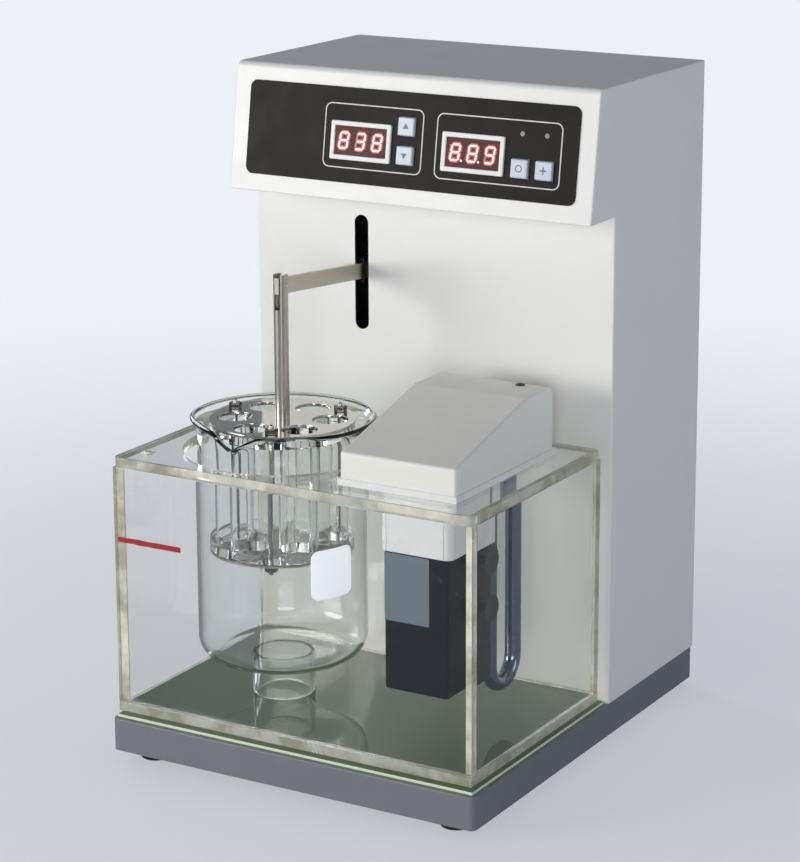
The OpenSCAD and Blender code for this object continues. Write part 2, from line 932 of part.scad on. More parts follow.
module crank_disc() {
    color("gray")
        translate([axis_x, crank_y, lift_z])
            rotate([-90, 0, 0])
                difference() {
                    union() {
                        cylinder(r = crank_r, h = crank_t, $fn = 96);
                        cylinder(r = hub_r, h = crank_t + hub_len);
                        cylinder(r = shaft_r, h = crank_t + hub_len + chassis_t + gearbox_t - 6);
                    }
                    // the hole for the pin, at the right of the disc: the arm is at mid-stroke
                    translate([stroke / 2, 0, -1])
                        cylinder(r = crank_pin_r + run_gap, h = crank_t + 2);
                    // lightening holes
                    for (a = [60:60:300])
                        rotate(a)
                            translate([crank_r * 0.62, 0, -1])
                                cylinder(r = crank_r * 0.16, h = crank_t + 2);
                }
}

module crank_pin() {
    color("silver")
        translate([axis_x + stroke / 2, roller_y, lift_z])
            rotate([-90, 0, 0]) {
                cylinder(r = crank_pin_r, h = crank_y + crank_t - roller_y);
                // shoulder between the roller and the disc
                translate([0, 0, roller_t + 0.1])
                    cylinder(r = crank_pin_r + 1.5, h = crank_y - roller_y - roller_t - 0.1);
                translate([0, 0, crank_y + crank_t - roller_y])
                    cylinder(r = crank_pin_r + 1.5, h = 2.5, $fn = 6);
            }
}

module follower_roller() {
    color("goldenrod")
        translate([axis_x + stroke / 2, roller_y, lift_z])
            rotate([-90, 0, 0])
                tube(roller_r, crank_pin_r + run_gap, roller_t);
}

// Lift

module carriage() {
    color("silver")
        difference() {
            union() {
                translate([axis_x - carriage_w / 2, carriage_front, lift_z - carriage_h / 2])
                    cube([carriage_w, carriage_d, carriage_h]);
                translate([axis_x - boss_w / 2, boss_front, lift_z - boss_h / 2])
                    cube([boss_w, boss_len + 1, boss_h]);
            }
            for (side = [-1, 1])
                translate([axis_x + side * guide_gap / 2, guide_y, lift_z - carriage_h])
                    cylinder(r = bush_r + 0.02, h = 2 * carriage_h);
            translate([axis_x - arm_t / 2 - run_gap, boss_front - 1, lift_z - boss_h])
                cube([arm_t + 2 * run_gap, boss_len + 1, 2 * boss_h]);
            for (y = arm_screws_y)
                translate([axis_x - boss_w, y, lift_z])
                    rotate([0, 90, 0])
                        cylinder(r = arm_screw_r + run_gap, h = 2 * boss_w);
            // relief at the back for the yoke's slot
            translate([axis_x - yoke_slot_w / 2, carriage_back - 2, lift_z - yoke_slot_h / 2])
                cube([yoke_slot_w, 3, yoke_slot_h]);
        }
}

module carriage_bushes() {
    color("goldenrod")
        for (side = [-1, 1], s = [-1, 1])
            translate([axis_x + side * guide_gap / 2, guide_y, lift_z])
                mirror([0, 0, s < 0 ? 1 : 0])
                    difference() {
                        union() {
                            translate([0, 0, carriage_h / 2 - bush_len])
                                cylinder(r = bush_r, h = bush_len);
                            translate([0, 0, carriage_h / 2])
                                cylinder(r = bush_flange_r, h = bush_flange_t);
                        }
                        cylinder(r = guide_r + run_gap, h = carriage_h);
                    }
}

module yoke_plate() {
    color("lightgray")
        forward(yoke_back, yoke_t)
            translate([axis_x, lift_z])
                difference() {
                    square([yoke_w, yoke_h], center = true);
                    rotate(90)
                        round_slot(yoke_slot_h, yoke_slot_w);
                }
}

module lift_arm() {
    half = arm_h / 2;
    color([0.66, 0.63, 0.57])
        difference() {
            translate([axis_x, 0, 0])
                across(arm_t)
                    polygon([
                        [arm_front, arm_z(arm_front) + half],
                        [carriage_front, arm_z(carriage_front) + half],
                        [carriage_front, arm_z(carriage_front) - half],
                        [arm_front, arm_z(arm_front) - half]]);
            // the hook's notch
            translate([axis_x - arm_t, axis_y, hook_z])
                rotate([0, 90, 0])
                    cylinder(r = hanger_pin_r + run_gap, h = 2 * arm_t, $fn = 32);
            translate([axis_x - arm_t, axis_y - hanger_pin_r - run_gap, hook_z])
                cube([2 * arm_t, 2 * (hanger_pin_r + run_gap), arm_h]);
            for (y = arm_screws_y)
                translate([axis_x - boss_w, y, lift_z])
                    rotate([0, 90, 0])
                        cylinder(r = arm_screw_r + run_gap, h = 2 * boss_w);
        }
}

module arm_screws() {
    color("silver")
        for (y = arm_screws_y)
            translate([axis_x - boss_w / 2, y, lift_z])
                rotate([0, 90, 0]) {
                    cylinder(r = arm_screw_r, h = boss_w + 1);
                    translate([0, 0, -2])
                        cylinder(r = arm_screw_head_r, h = 2);
                }
}

// Basket

module hanger_tube() {
    color([0.66, 0.63, 0.57])
        translate([axis_x, axis_y, 0])
            difference() {
                union() {
                    translate([0, 0, basket_top])
                        cylinder(r = hanger_r, h = hanger_top - basket_top);
                    translate([0, 0, basket_top - stud_len])
                        cylinder(r = stud_r, h = stud_len + 1);
                }
                translate([0, 0, basket_top + 12])
                    cylinder(r = hanger_bore_r, h = hanger_top);
                translate([-arm_t / 2 - fit_gap, -hanger_r - 1, hanger_top - hanger_slot])
                    cube([arm_t + 2 * fit_gap, 2 * hanger_r + 2, hanger_slot + 1]);
                translate([-2 * hanger_r, 0, hook_z])
                    rotate([0, 90, 0])
                        cylinder(r = hanger_pin_r + 0.02, h = 4 * hanger_r, $fn = 32);
            }
}

module hanger_pin() {
    color("silver")
        translate([axis_x - hanger_r - 0.3, axis_y, hook_z])
            rotate([0, 90, 0])
                cylinder(r = hanger_pin_r, h = 2 * hanger_r + 0.6, $fn = 32);
}

// Cuts the holes of the rack's round plates: tubes, tie bolts and, in the upper ones, the hanger's stud
module rack_holes(tube_hole_r, h, stud = false) {
    for (a = tube_angles)
        rotate(a)
            translate([tube_ring, 0, -1])
                cylinder(r = tube_hole_r, h = h + 2);
    for (a = bolt_angles)
        rotate(a)
            translate([bolt_ring, 0, -1])
                cylinder(r = bolt_r + run_gap, h = h + 2);
    if (stud)
        translate([0, 0, -1])
            cylinder(r = stud_r + run_gap, h = h + 2);
}

module basket_disc() {
    color("silver")
        translate([axis_x, axis_y, rack_top])
            difference() {
                cylinder(r = basket_r, h = disc_t, $fn = 96);
                rack_holes(disc_hole_r, disc_t, stud = true);
            }
}

module rack_plates() {
    color(clear_sheet)
        for (z = [tube_bottom, rack_top - rack_t])
            translate([axis_x, axis_y, z])
                difference() {
                    cylinder(r = basket_r - 0.5, h = rack_t, $fn = 96);
                    rack_holes(tube_r + run_gap, rack_t, stud = z > tube_bottom);
                }
}

module basket_tubes() {
    color(clear_glass)
        for (a = tube_angles)
            translate([axis_x + tube_ring * cos(a), axis_y + tube_ring * sin(a), tube_bottom])
                tube(tube_r, tube_r - tube_wall, tube_len);
}

// The woven mesh under the tubes, with the steel ring plate that clamps it
module basket_mesh() {
    color("silver")
        translate([axis_x, axis_y, 0]) {
            translate([0, 0, mesh_z])
                difference() {
                    cylinder(r = basket_r - 1, h = mesh_t, $fn = 96);
                    rack_holes(0.01, mesh_t);
                }
            translate([0, 0, ring_z])
                difference() {
                    cylinder(r = basket_r - 0.5, h = ring_t, $fn = 96);
                    rack_holes(disc_hole_r, ring_t);
                }
        }
}

module basket_tie_bolts() {
    bolt_low = ring_z - nut_h - bolt_tip;
    color("silver") {
        for (a = bolt_angles)
            translate([axis_x + bolt_ring * cos(a), axis_y + bolt_ring * sin(a), 0]) {
                translate([0, 0, bolt_low])
                    cylinder(r = bolt_r, h = basket_top + nut_h + bolt_tip - bolt_low);
                translate([0, 0, basket_top])
                    nut(nut_r, bolt_r + 0.02, nut_h);
                translate([0, 0, ring_z - nut_h])
                    nut(nut_r, bolt_r + 0.02, nut_h);
            }
        // nut on the hanger's stud, under the upper plate
        translate([axis_x, axis_y, rack_top - rack_t - nut_h])
            nut(2 * stud_r, stud_r + 0.02, nut_h);
    }
}

// Beaker

// Half section of the beaker's wall: outside up, over the flared rim, and down the inside
module beaker_section() {
    in_r = beaker_r - beaker_wall;
    throat_r = 5;
    flare_z = beaker_h - throat_r;
    polygon(concat(
        [[0, 0]],
        arc(beaker_r - base_r, base_r, base_r, -90, 0, 6),
        arc(beaker_r + rim_flare - rim_r, flare_z, rim_flare - rim_r, 180, 90, 5),
        arc(beaker_r + rim_flare - rim_r, beaker_h - rim_r, rim_r, -60, 110, 5),
        arc(in_r + throat_r, beaker_h - throat_r - 0.5, throat_r, 110, 180, 5),
        arc(in_r - (base_r - beaker_wall), base_r, base_r - beaker_wall, 0, -90, 6),
        [[0, beaker_wall]]));
}

// The spout's body, drawn in by a wall: from the rim's front to a tip, and down the wall
module spout_form(inset) {
    seat_r = beaker_r - beaker_wall - 0.4;
    shoulder = 20;
    root = 30;
    hull() {
        translate([0, -(beaker_r + spout_reach - spout_tip), beaker_h - spout_tip - 1])
            sphere(r = spout_tip - inset, $fn = 24);
        for (a = [-24, -8, 8, 24])
            rotate(a)
                translate([0, -seat_r, beaker_h - shoulder])
                    cylinder(r1 = 1.6 - inset / 2, r2 = 2.6 - inset, h = shoulder - 1 - inset, $fn = 16);
        translate([0, -seat_r, beaker_h - root])
            sphere(r = 1.8 - inset / 2, $fn = 16);
    }
}

module beaker() {
    color(clear_glass)
        translate([axis_x, axis_y, beaker_z])
            difference() {
                union() {
                    rotate_extrude($fn = 96)
                        beaker_section();
                    spout_form(0);
                }
                // inside of the spout, open to the top and to the beaker
                spout_form(1.2);
                translate([0, -(beaker_r + spout_reach - spout_tip), beaker_h - spout_tip - 1])
                    cylinder(r = 2.6, h = 8, $fn = 24);
                translate([0, 0, beaker_wall + base_r])
                    cylinder(r = beaker_r - beaker_wall, h = beaker_h, $fn = 96);
            }
}

module beaker_pedestal() {
    color(clear_sheet)
        translate([axis_x, axis_y, tank_floor_z])
            tube(pedestal_r, pedestal_r - pedestal_wall, pedestal_h);
}

// Tank, five glued panes and a loose lid

module tank_floor() {
    color(clear_sheet)
        translate([tank_x - tank_w / 2, tank_front_y, mat_top])
            cube([tank_w, tank_d, pane_t]);
}

module tank_long_panes() {
    color(clear_sheet)
        for (y = [tank_front_y, tank_back_y - pane_t])
            translate([tank_x - tank_w / 2, y, tank_floor_z])
                cube([tank_w, pane_t, lid_z - tank_floor_z]);
}

module tank_short_panes() {
    color(clear_sheet)
        for (x = [tank_x - tank_w / 2, tank_x + tank_w / 2 - pane_t])
            translate([x, tank_front_y + pane_t, tank_floor_z])
                cube([pane_t, tank_d - 2 * pane_t, lid_z - tank_floor_z]);
}

module tank_lid() {
    color(clear_sheet)
        translate([0, 0, lid_z])
            difference() {
                union() {
                    linear_extrude(pane_t)
                        translate([tank_x, tank_front_y + tank_d / 2])
                            round_rect(tank_w, tank_d, lid_r);
                    // lip round the thermometer port
                    translate([port_x, port_y, 0])
                        cylinder(r = port_r + 2, h = pane_t + port_lip);
                }
                translate([axis_x, axis_y, -1])
                    cylinder(r = lid_hole_r, h = pane_t + 2, $fn = 96);
                translate([cut_x0, cut_y0, -1])
                    cube([cut_x1 - cut_x0, cut_y1 - cut_y0, pane_t + 2]);
                translate([port_x, port_y, -1])
                    cylinder(r = port_r, h = pane_t + port_lip + 2);
            }
}

// Heater unit

module neck_plan(inset) {
    translate([neck_w / 2, neck_d / 2])
        round_rect(neck_w - 2 * inset, neck_d - 2 * inset, neck_r - inset);
}

module unit_base() {
    color(ivory)
        difference() {
            union() {
                translate([unit_x - flange_edge, unit_front - flange_edge, flange_z])
                    cube([unit_w + 2 * flange_edge, unit_d + 2 * flange_edge, flange_t]);
                translate([neck_x, neck_front, neck_z])
                    linear_extrude(neck_h + 1)
                        neck_plan(0);
            }
            translate([neck_x, neck_front, neck_z + unit_wall])
                linear_extrude(neck_h + flange_t)
                    neck_plan(unit_wall);
            for (s = [-1, 1])
                translate([heater_x, heater_y + heater_gap / 2 + s * heater_gap / 2, flange_z - 1])
                    cylinder(r = heater_r + run_gap, h = flange_t + 2);
            translate([probe_x, probe_y, flange_z - 1])
                cylinder(r = probe_r + run_gap, h = flange_t + 2);
            // cable hole to the pump
            translate([pump_cx, pump_cy, neck_z - 1])
                cylinder(r = 4, h = unit_wall + 2);
            // hole for the steady pin, in the back edge
            translate([unit_x + unit_w - 4, unit_back - 6, flange_z + flange_t / 2])
                rotate([-90, 0, 0])
                    cylinder(r = 1.25, h = 8, $fn = 24);
        }
}

// Side view of the cover, drawn in by a wall
module cover_side(inset) {
    slope = atan((unit_h - unit_front_h) / (unit_d - unit_flat));
    r = 3;
    polygon([
        [unit_front + inset, cover_base - (inset > 0 ? 1 : 0)],
        [unit_front + inset, cover_base + unit_front_h - inset * 0.9],
        [unit_back - unit_flat + inset * tan(slope / 2), cover_base + unit_h - inset],
        [unit_back - r, cover_base + unit_h - inset],
        [unit_back - inset, cover_base + unit_h - r],
        [unit_back - inset, cover_base - (inset > 0 ? 1 : 0)]]);
}

module unit_cover() {
    color(ivory)
        difference() {
            translate([unit_x + unit_w / 2, 0, 0])
                across(unit_w)
                    cover_side(0);
            translate([unit_x + unit_w / 2, 0, 0])
                across(unit_w - 2 * unit_wall)
                    cover_side(unit_wall);
            // lamp hole at the back of the top
            translate([unit_x + unit_w * 0.76, unit_back - 8, cover_base + unit_h - unit_wall - 1])
                cylinder(r = lamp_hole_r, h = unit_wall + 2);
            // hole for the cord gland
            translate([unit_x + unit_w / 3, unit_back - unit_wall - 1, cover_base + unit_h / 2])
                rotate([-90, 0, 0])
                    cylinder(r = 5 + run_gap, h = unit_wall + 2);
        }
}

module unit_gland() {
    color(dark_plastic)
        translate([unit_x + unit_w / 3, unit_back, cover_base + unit_h / 2])
            rotate([-90, 0, 0])
                difference() {
                    union() {
                        translate([0, 0, -unit_wall - 4])
                            cylinder(r = 5, h = unit_wall + 4);
                        cylinder(r = 8, h = 4, $fn = 6);
                        translate([0, 0, 4])
                            cylinder(r1 = 6.5, r2 = 5, h = 4);
                        translate([0, 0, -unit_wall - 4])
                            cylinder(r = 7.5, h = 4, $fn = 6);
                    }
                    translate([0, 0, -unit_wall - 5])
                        cylinder(r = 3.2, h = unit_wall + 16);
                }
}

module unit_pin() {
    color("silver")
        translate([unit_x + unit_w - 4, unit_back - 6, flange_z + flange_t / 2])
            rotate([-90, 0, 0])
                cylinder(r = 1.2, h = 13, $fn = 24);
}

module pump_box() {
    color(dark_plastic)
        difference() {
            union() {
                translate([pump_x, pump_front, pump_z])
                    cube([pump_w, pump_d, pump_h]);
                // outlet nozzle at the back
                translate([pump_cx, pump_front + pump_d, impeller_z + impeller_h / 2])
                    rotate([-90, 0, 0])
                        cylinder(r = nozzle_r, h = nozzle_len);
            }
            translate([pump_x + pump_wall, pump_front + pump_wall, pump_z + pump_wall])
                cube([pump_w - 2 * pump_wall, pump_d - 2 * pump_wall, pump_h - pump_wall + 1]);
            translate([pump_cx, pump_front + pump_d - pump_wall - 1, impeller_z + impeller_h / 2])
                rotate([-90, 0, 0])
                    cylinder(r = nozzle_r - 1.5, h = nozzle_len + pump_wall + 2);
            // inlet slots in the floor
            for (i = [-3:3])
                translate([pump_cx + i * 5 - 1, pump_front + 8, pump_z - 1])
                    cube([2, pump_d - 16, pump_wall + 2]);
        }
}

module pump_motor() {
    color([0.2, 0.2, 0.22]) {
        translate([pump_x + pump_wall + 0.1, pump_front + pump_wall + 0.1, motor_block_z])
            cube([pump_w - 2 * pump_wall - 0.2, pump_d - 2 * pump_wall - 0.2, neck_z - motor_block_z]);
        translate([pump_cx, pump_cy, impeller_z - 3])
            cylinder(r = impeller_shaft_r, h = motor_block_z - impeller_z + 4, $fn = 24);
    }
}

module pump_impeller() {
    blade_t = 1.4;
    color([0.85, 0.85, 0.8])
        translate([pump_cx, pump_cy, impeller_z])
            difference() {
                union() {
                    cylinder(r = 4, h = impeller_h);
                    translate([0, 0, impeller_h - 2])
                        cylinder(r = impeller_r, h = 2);
                    for (a = [0:60:300])
                        rotate(a)
                            translate([0, -blade_t / 2, 0])
                                cube([impeller_r, blade_t, impeller_h - 1]);
                }
                translate([0, 0, -1])
                    cylinder(r = impeller_shaft_r + run_gap, h = impeller_h + 2, $fn = 24);
            }
}

module suction_cups() {
    color(dark_plastic)
        for (z = cup_z)
            translate([cup_x, cup_y, z])
                rotate([0, 90, 0])
                    difference() {
                        union() {
                            cylinder(r = cup_stem_r, h = cup_reach * 0.7);
                            translate([0, 0, cup_reach * 0.57])
                                cylinder(r1 = cup_stem_r + 0.5, r2 = cup_r, h = cup_reach * 0.43);
                        }
                        translate([0, 0, cup_reach * 0.77])
                            cylinder(r1 = cup_stem_r - 1, r2 = cup_r - cup_lip, h = cup_reach * 0.24);
                    }
}

module heater_tube() {
    color([0.75, 0.75, 0.74])
        translate([heater_x, heater_y + heater_bend_r, 0]) {
            for (s = [-1, 1])
                translate([0, s * heater_bend_r, heater_low])
                    cylinder(r = heater_r, h = heater_top - heater_low);
            translate([0, 0, heater_low])
                rotate([0, 90, 0])
                    rotate([0, 0, -90])
                        rotate_extrude(angle = 180)
                            translate([heater_bend_r, 0])
                                circle(heater_r);
        }
}

module heater_glands() {
    color("silver")
        for (s = [0, 1], z = [flange_z - gland_h, cover_base])
            translate([heater_x, heater_y + s * heater_gap, z])
                nut(gland_r, heater_r + run_gap, gland_h);
}

module temperature_probe() {
    color("silver")
        translate([probe_x, probe_y, 0]) {
            translate([0, 0, flange_z - probe_drop])
                cylinder(r = probe_r, h = probe_drop + flange_t + 6, $fn = 32);
            translate([0, 0, flange_z + flange_t])
                tube(probe_r + 2, probe_r, 4);
        }
}

// Fittings of the back panel

// Recess and flange of a snap-in fitting, seen from behind: w by h inside
module snap_in(w, h, depth) {
    forward(panel_y + 2, 2)
        square([w + 8, h + 8], center = true);
    forward(panel_y, depth)
        square([w + 3.8, h + 3.8], center = true);
}

module mains_inlet() {
    color(dark_plastic)
        translate([inlet_x, 0, inlet_z]) {
            difference() {
                snap_in(inlet_w, inlet_h, inlet_depth);
                forward(panel_y + 3, inlet_depth)
                    square([inlet_w, inlet_h], center = true);
            }
            // blades
            for (p = [[-7, -2], [7, -2], [0, 3]])
                forward(panel_y - 4, inlet_depth - 6)
                    translate(p)
                        square([2, 4], center = true);
        }
}

module unit_socket() {
    color([0.6, 0.6, 0.6])
        translate([socket_x, panel_y, inlet_z])
            rotate([90, 0, 0])
                difference() {
                    union() {
                        cylinder(r = socket_r, h = 14);
                        translate([0, 0, -2])
                            cylinder(r = socket_r + 3, h = 2);
                        translate([0, 0, sheet_t])
                            cylinder(r = socket_r + 3, h = 3, $fn = 6);
                    }
                    translate([0, 0, -3])
                        cylinder(r = socket_r - 2, h = 9);
                }
}

module power_switch_body() {
    color(dark_plastic)
        translate([switch_x, 0, inlet_z])
            difference() {
                snap_in(rocker_w, switch_h - 1.8, switch_depth);
                forward(panel_y + 3, switch_depth + 1)
                    square([rocker_w + 2 * run_gap + 0.3, switch_h - 0.3], center = true);
            }
}

// The rocker turns about X; it rests with its lower side pressed in
module power_rocker() {
    pivot_y = panel_y - 2;
    color([0.12, 0.12, 0.13])
        translate([switch_x, pivot_y, inlet_z])
            rotate([-rocker_swing / 2, 0, 0])
                difference() {
                    rotate([0, 90, 0])
                        cylinder(r = rocker_r, h = rocker_w, center = true);
                    // the two faces of the rocker meet at a shallow angle
                    for (s = [-1, 1])
                        rotate([s * rocker_swing / 2, 0, 0])
                            translate([-rocker_w, 4, -rocker_r * (s > 0 ? 2 : 0)])
                                cube([2 * rocker_w, 2 * rocker_r, 2 * rocker_r]);
                    translate([-rocker_w, -3 * rocker_r, -2 * rocker_r])
                        cube([2 * rocker_w, 2 * rocker_r, 4 * rocker_r]);
                }
}

plinth();
bottom_cover();
rubber_feet();
tank_mat();
column_shell();
back_panel();
case_screws();
control_fascia();
display_bezels();
display_windows();
display_modules();
control_board();
board_standoffs();
key_switches();
indicator_lamps();
left_key_upper();
left_key_lower();
right_key_inner();
right_key_outer();
chassis_plate();
guide_brackets();
guide_rods();
gear_motor();
transformer();
crank_disc();
crank_pin();
follower_roller();
carriage();
carriage_bushes();
yoke_plate();
lift_arm();
arm_screws();
hanger_tube();
hanger_pin();
basket_disc();
rack_plates();
basket_tubes();
basket_mesh();
basket_tie_bolts();
beaker();
beaker_pedestal();
tank_floor();
tank_long_panes();
tank_short_panes();
tank_lid();
unit_base();
unit_cover();
unit_gland();
unit_pin();
pump_box();
pump_motor();
pump_impeller();
suction_cups();
heater_tube();
heater_glands();
temperature_probe();
mains_inlet();
unit_socket();
power_switch_body();
power_rocker();
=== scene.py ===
import json
import math
import random

import bmesh
import bpy
from mathutils import Matrix, Vector

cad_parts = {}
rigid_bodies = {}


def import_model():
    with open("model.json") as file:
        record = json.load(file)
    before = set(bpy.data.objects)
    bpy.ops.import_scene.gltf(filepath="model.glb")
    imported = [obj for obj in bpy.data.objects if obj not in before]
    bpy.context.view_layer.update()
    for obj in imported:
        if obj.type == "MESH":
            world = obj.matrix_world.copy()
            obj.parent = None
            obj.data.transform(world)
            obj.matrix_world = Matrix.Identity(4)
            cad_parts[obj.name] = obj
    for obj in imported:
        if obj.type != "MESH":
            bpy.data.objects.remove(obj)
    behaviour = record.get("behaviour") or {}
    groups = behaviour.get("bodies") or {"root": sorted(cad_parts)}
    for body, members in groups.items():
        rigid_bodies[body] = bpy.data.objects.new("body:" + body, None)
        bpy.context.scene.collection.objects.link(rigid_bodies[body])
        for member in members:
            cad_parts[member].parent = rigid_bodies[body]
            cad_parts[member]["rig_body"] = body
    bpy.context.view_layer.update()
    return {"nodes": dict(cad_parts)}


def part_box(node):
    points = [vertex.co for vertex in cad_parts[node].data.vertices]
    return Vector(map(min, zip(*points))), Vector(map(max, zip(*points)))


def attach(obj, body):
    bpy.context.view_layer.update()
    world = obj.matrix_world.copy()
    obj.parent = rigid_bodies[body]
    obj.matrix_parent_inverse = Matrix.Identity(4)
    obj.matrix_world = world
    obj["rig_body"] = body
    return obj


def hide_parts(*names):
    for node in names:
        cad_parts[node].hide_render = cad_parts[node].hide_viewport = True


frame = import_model()
cadNodes = frame["nodes"]
dice = random.Random(7)
up = Vector((0, 0, 1))
fullTurn = 2 * math.pi
at = Matrix.Translation
seam, hair, thread = 1e-6, 1e-5, 1e-4  # how near to a height or face still counts as on it, in metres


def tint(code):
    # a hex colour as the eye sees it, in scene light
    steps = [int(code[i:i + 2], 16) / 255 for i in (1, 3, 5)]
    return tuple(s / 12.92 if s < 0.04045 else ((s + 0.055) / 1.055) ** 2.4 for s in steps) + (1.0,)


# camera and light
# the camera's place comes from the photograph's own perspective; places are metres, turns are degrees
camera = {"place": (0.8582, -1.4560, 0.6596), "turn": 30.2, "tip": 13.7, "roll": -0.14,
          "lens": 117.0, "sensor": 36, "shift": (-0.03, -0.10), "sight": 50}
lights = {
    "keyLight": {"place": (-2.55, -2.72, 0.6), "aim": (0.0, -0.05, 0.22), "size": 2.1, "watts": 92,
                 "colour": "#fffdf9"},
    "fillLight": {"place": (1.25, -2.4, 0.45), "aim": (0.05, -0.1, 0.2), "size": 1.2, "watts": 20,
                  "colour": "#fcfcff"},
    "sideLight": {"place": (2.4, 0.3, 0.45), "aim": (0.05, 0.0, 0.2), "size": 1.4, "watts": 8,
                  "colour": "#f4f8ff"},
    "backLight": {"place": (-1.9, 1.0, 0.9), "aim": (0.0, 0.0, 0.15), "size": 0.9, "watts": 10,
                  "colour": "#f6f9ff"},
}
room = {"ambient": "#c6d3e4", "ambientStrength": 0.27, "horizon": "#edf0f4", "zenith": "#8f9aaa",
        "horizonHeight": 0.05, "zenithHeight": 0.8, "mirrored": 0.36, "bounces": 24}
floor = {"radius": 6.0, "sides": 96, "colour": "#e9ecf0", "mirrored": "#626d7b", "roughness": 0.6,
         "fadeFrom": 0.2, "fadeTo": 1.3, "leastFade": 0.5}


def addObject(name, data):
    thing = bpy.data.objects.new(name, data)
    bpy.context.scene.collection.objects.link(thing)
    return thing


def setCamera():
    data = bpy.data.cameras.new("photoCamera")
    data.lens = camera["lens"]
    data.sensor_width = camera["sensor"]
    data.shift_x, data.shift_y = camera["shift"]
    data.clip_end = camera["sight"]
    eye = addObject("photoCamera", data)
    turn = Matrix.Rotation(math.radians(camera["turn"]), 4, "Z")
    tip = Matrix.Rotation(math.radians(90 - camera["tip"]), 4, "X")
    roll = Matrix.Rotation(math.radians(camera["roll"]), 4, "Z")
    eye.matrix_world = at(camera["place"]) @ turn @ tip @ roll
    bpy.context.scene.camera = eye


def addLight(name, place, aim, size, watts, colour):
    data = bpy.data.lights.new(name, "AREA")
    data.shape = "DISK"
    data.size = size
    data.energy = watts
    data.color = tint(colour)[:3]
    turn = (Vector(aim) - Vector(place)).to_track_quat("-Z", "Y").to_matrix().to_4x4()
    addObject(name, data).matrix_world = at(place) @ turn


# shader helpers
def setInputs(tree, node, inputs):
    # each input takes a plain value, or the output that is linked to it
    for key, value in inputs.items():
        if isinstance(value, bpy.types.NodeSocket):
            tree.links.new(value, node.inputs[key])
        else:
            node.inputs[key].default_value = value


def addNode(tree, kind, inputs=None, **settings):
    node = tree.nodes.new("ShaderNode" + kind)
    for key, value in settings.items():
        setattr(node, key, value)
    setInputs(tree, node, inputs or {})
    return node


def coordinates(tree, kind="Object"):
    return addNode(tree, "TexCoord").outputs[kind]


def addNoise(tree, scale, detail, rough, distortion=0.0, place=None):
    settings = {"Vector": coordinates(tree) if place is None else place, "Scale": scale,
                "Detail": detail, "Roughness": rough, "Distortion": distortion}
    return addNode(tree, "TexNoise", settings).outputs["Fac"]


def addRange(tree, value, low, high, newLow=0.0, newHigh=1.0, **settings):
    # a value between low and high, drawn out to newLow and newHigh
    limits = {"Value": value, "From Min": low, "From Max": high, "To Min": newLow, "To Max": newHigh}
    return addNode(tree, "MapRange", limits, **settings).outputs["Result"]


def addMath(tree, operation, first, second):
    return addNode(tree, "Math", {0: first, 1: second}, operation=operation).outputs[0]


def blendColours(tree, factor, first, second):
    return addNode(tree, "Mix", {0: factor, 6: first, 7: second}, data_type="RGBA").outputs[2]


def blendShaders(tree, factor, first, second, output):
    # ends a material or the world in a mix of two shaders
    mix = addNode(tree, "MixShader", {0: factor, 1: first.outputs[0], 2: second.outputs[0]})
    tree.links.new(mix.outputs[0], tree.nodes[output].inputs["Surface"])


def newGroup(name, inputs, outputs):
    tree = bpy.data.node_groups.new(name, "ShaderNodeTree")
    for label, value in inputs.items():
        kind = "Vector" if isinstance(value, tuple) else "Float"
        socket = tree.interface.new_socket(label, in_out="INPUT", socket_type="NodeSocket" + kind)
        socket.default_value = value
    for label in outputs:
        tree.interface.new_socket(label, in_out="OUTPUT", socket_type="NodeSocketFloat")
    return tree, tree.nodes.new("NodeGroupInput").outputs, tree.nodes.new("NodeGroupOutput")


def makeGrain():
    # fine even texture of paint and moulded plastic: a height for bump and a slow mottle
    tree, start, end = newGroup("fineGrain", {"Scale": 900.0}, ("Height", "Mottle"))
    setInputs(tree, end, {"Height": addNoise(tree, start["Scale"], 3.0, 0.6),
                          "Mottle": addNoise(tree, 14.0, 3.0, 0.55)})
    return tree


def makeSmudge():
    # where hands and cloths have been: roughness between a clean and a worn value
    tree, start, end = newGroup(
        "handledGloss", {"Clean": 0.3, "Worn": 0.5, "Scale": 30.0}, ("Roughness", "Mask"))
    mask = addRange(tree, addNoise(tree, start["Scale"], 5.0, 0.65, 0.8), 0.42, 0.68)
    rough = addRange(tree, mask, 0.0, 1.0, start["Clean"], start["Worn"])
    setInputs(tree, end, {"Roughness": rough, "Mask": mask})
    return tree


def makeBrushed():
    # brush lines drawn out along one axis: Stretch is small along the lines and large across them
    tree, start, end = newGroup(
        "brushLines", {"Stretch": (30.0, 1200.0, 1200.0), "Clean": 0.22, "Worn": 0.38},
        ("Height", "Roughness", "Streak"))
    drawn = addNode(tree, "VectorMath", {0: coordinates(tree), 1: start["Stretch"]},
                    operation="MULTIPLY")
    lines = addNoise(tree, 1.0, 4.0, 0.7, place=drawn.outputs["Vector"])
    rough = addRange(tree, lines, 0.3, 0.7, start["Clean"], start["Worn"])
    setInputs(tree, end, {"Height": lines, "Roughness": rough, "Streak": lines})
    return tree


def makeDust():
    # a thin film of dust on faces that look up
    tree, start, end = newGroup("settledDust", {"Amount": 0.1}, ("Mask",))
    normal = addNode(tree, "NewGeometry").outputs["Normal"]
    facing = addRange(tree, addNode(tree, "SeparateXYZ", {0: normal}).outputs["Z"], 0.55, 1.0)
    patches = addRange(tree, addNoise(tree, 160.0, 6.0, 0.75), 0.35, 0.75)
    both = addMath(tree, "MULTIPLY", facing, patches)
    setInputs(tree, end, {"Mask": addMath(tree, "MULTIPLY", both, start["Amount"])})
    return tree


groups = {"grain": makeGrain(), "smudge": makeSmudge(), "brushed": makeBrushed(), "dust": makeDust()}
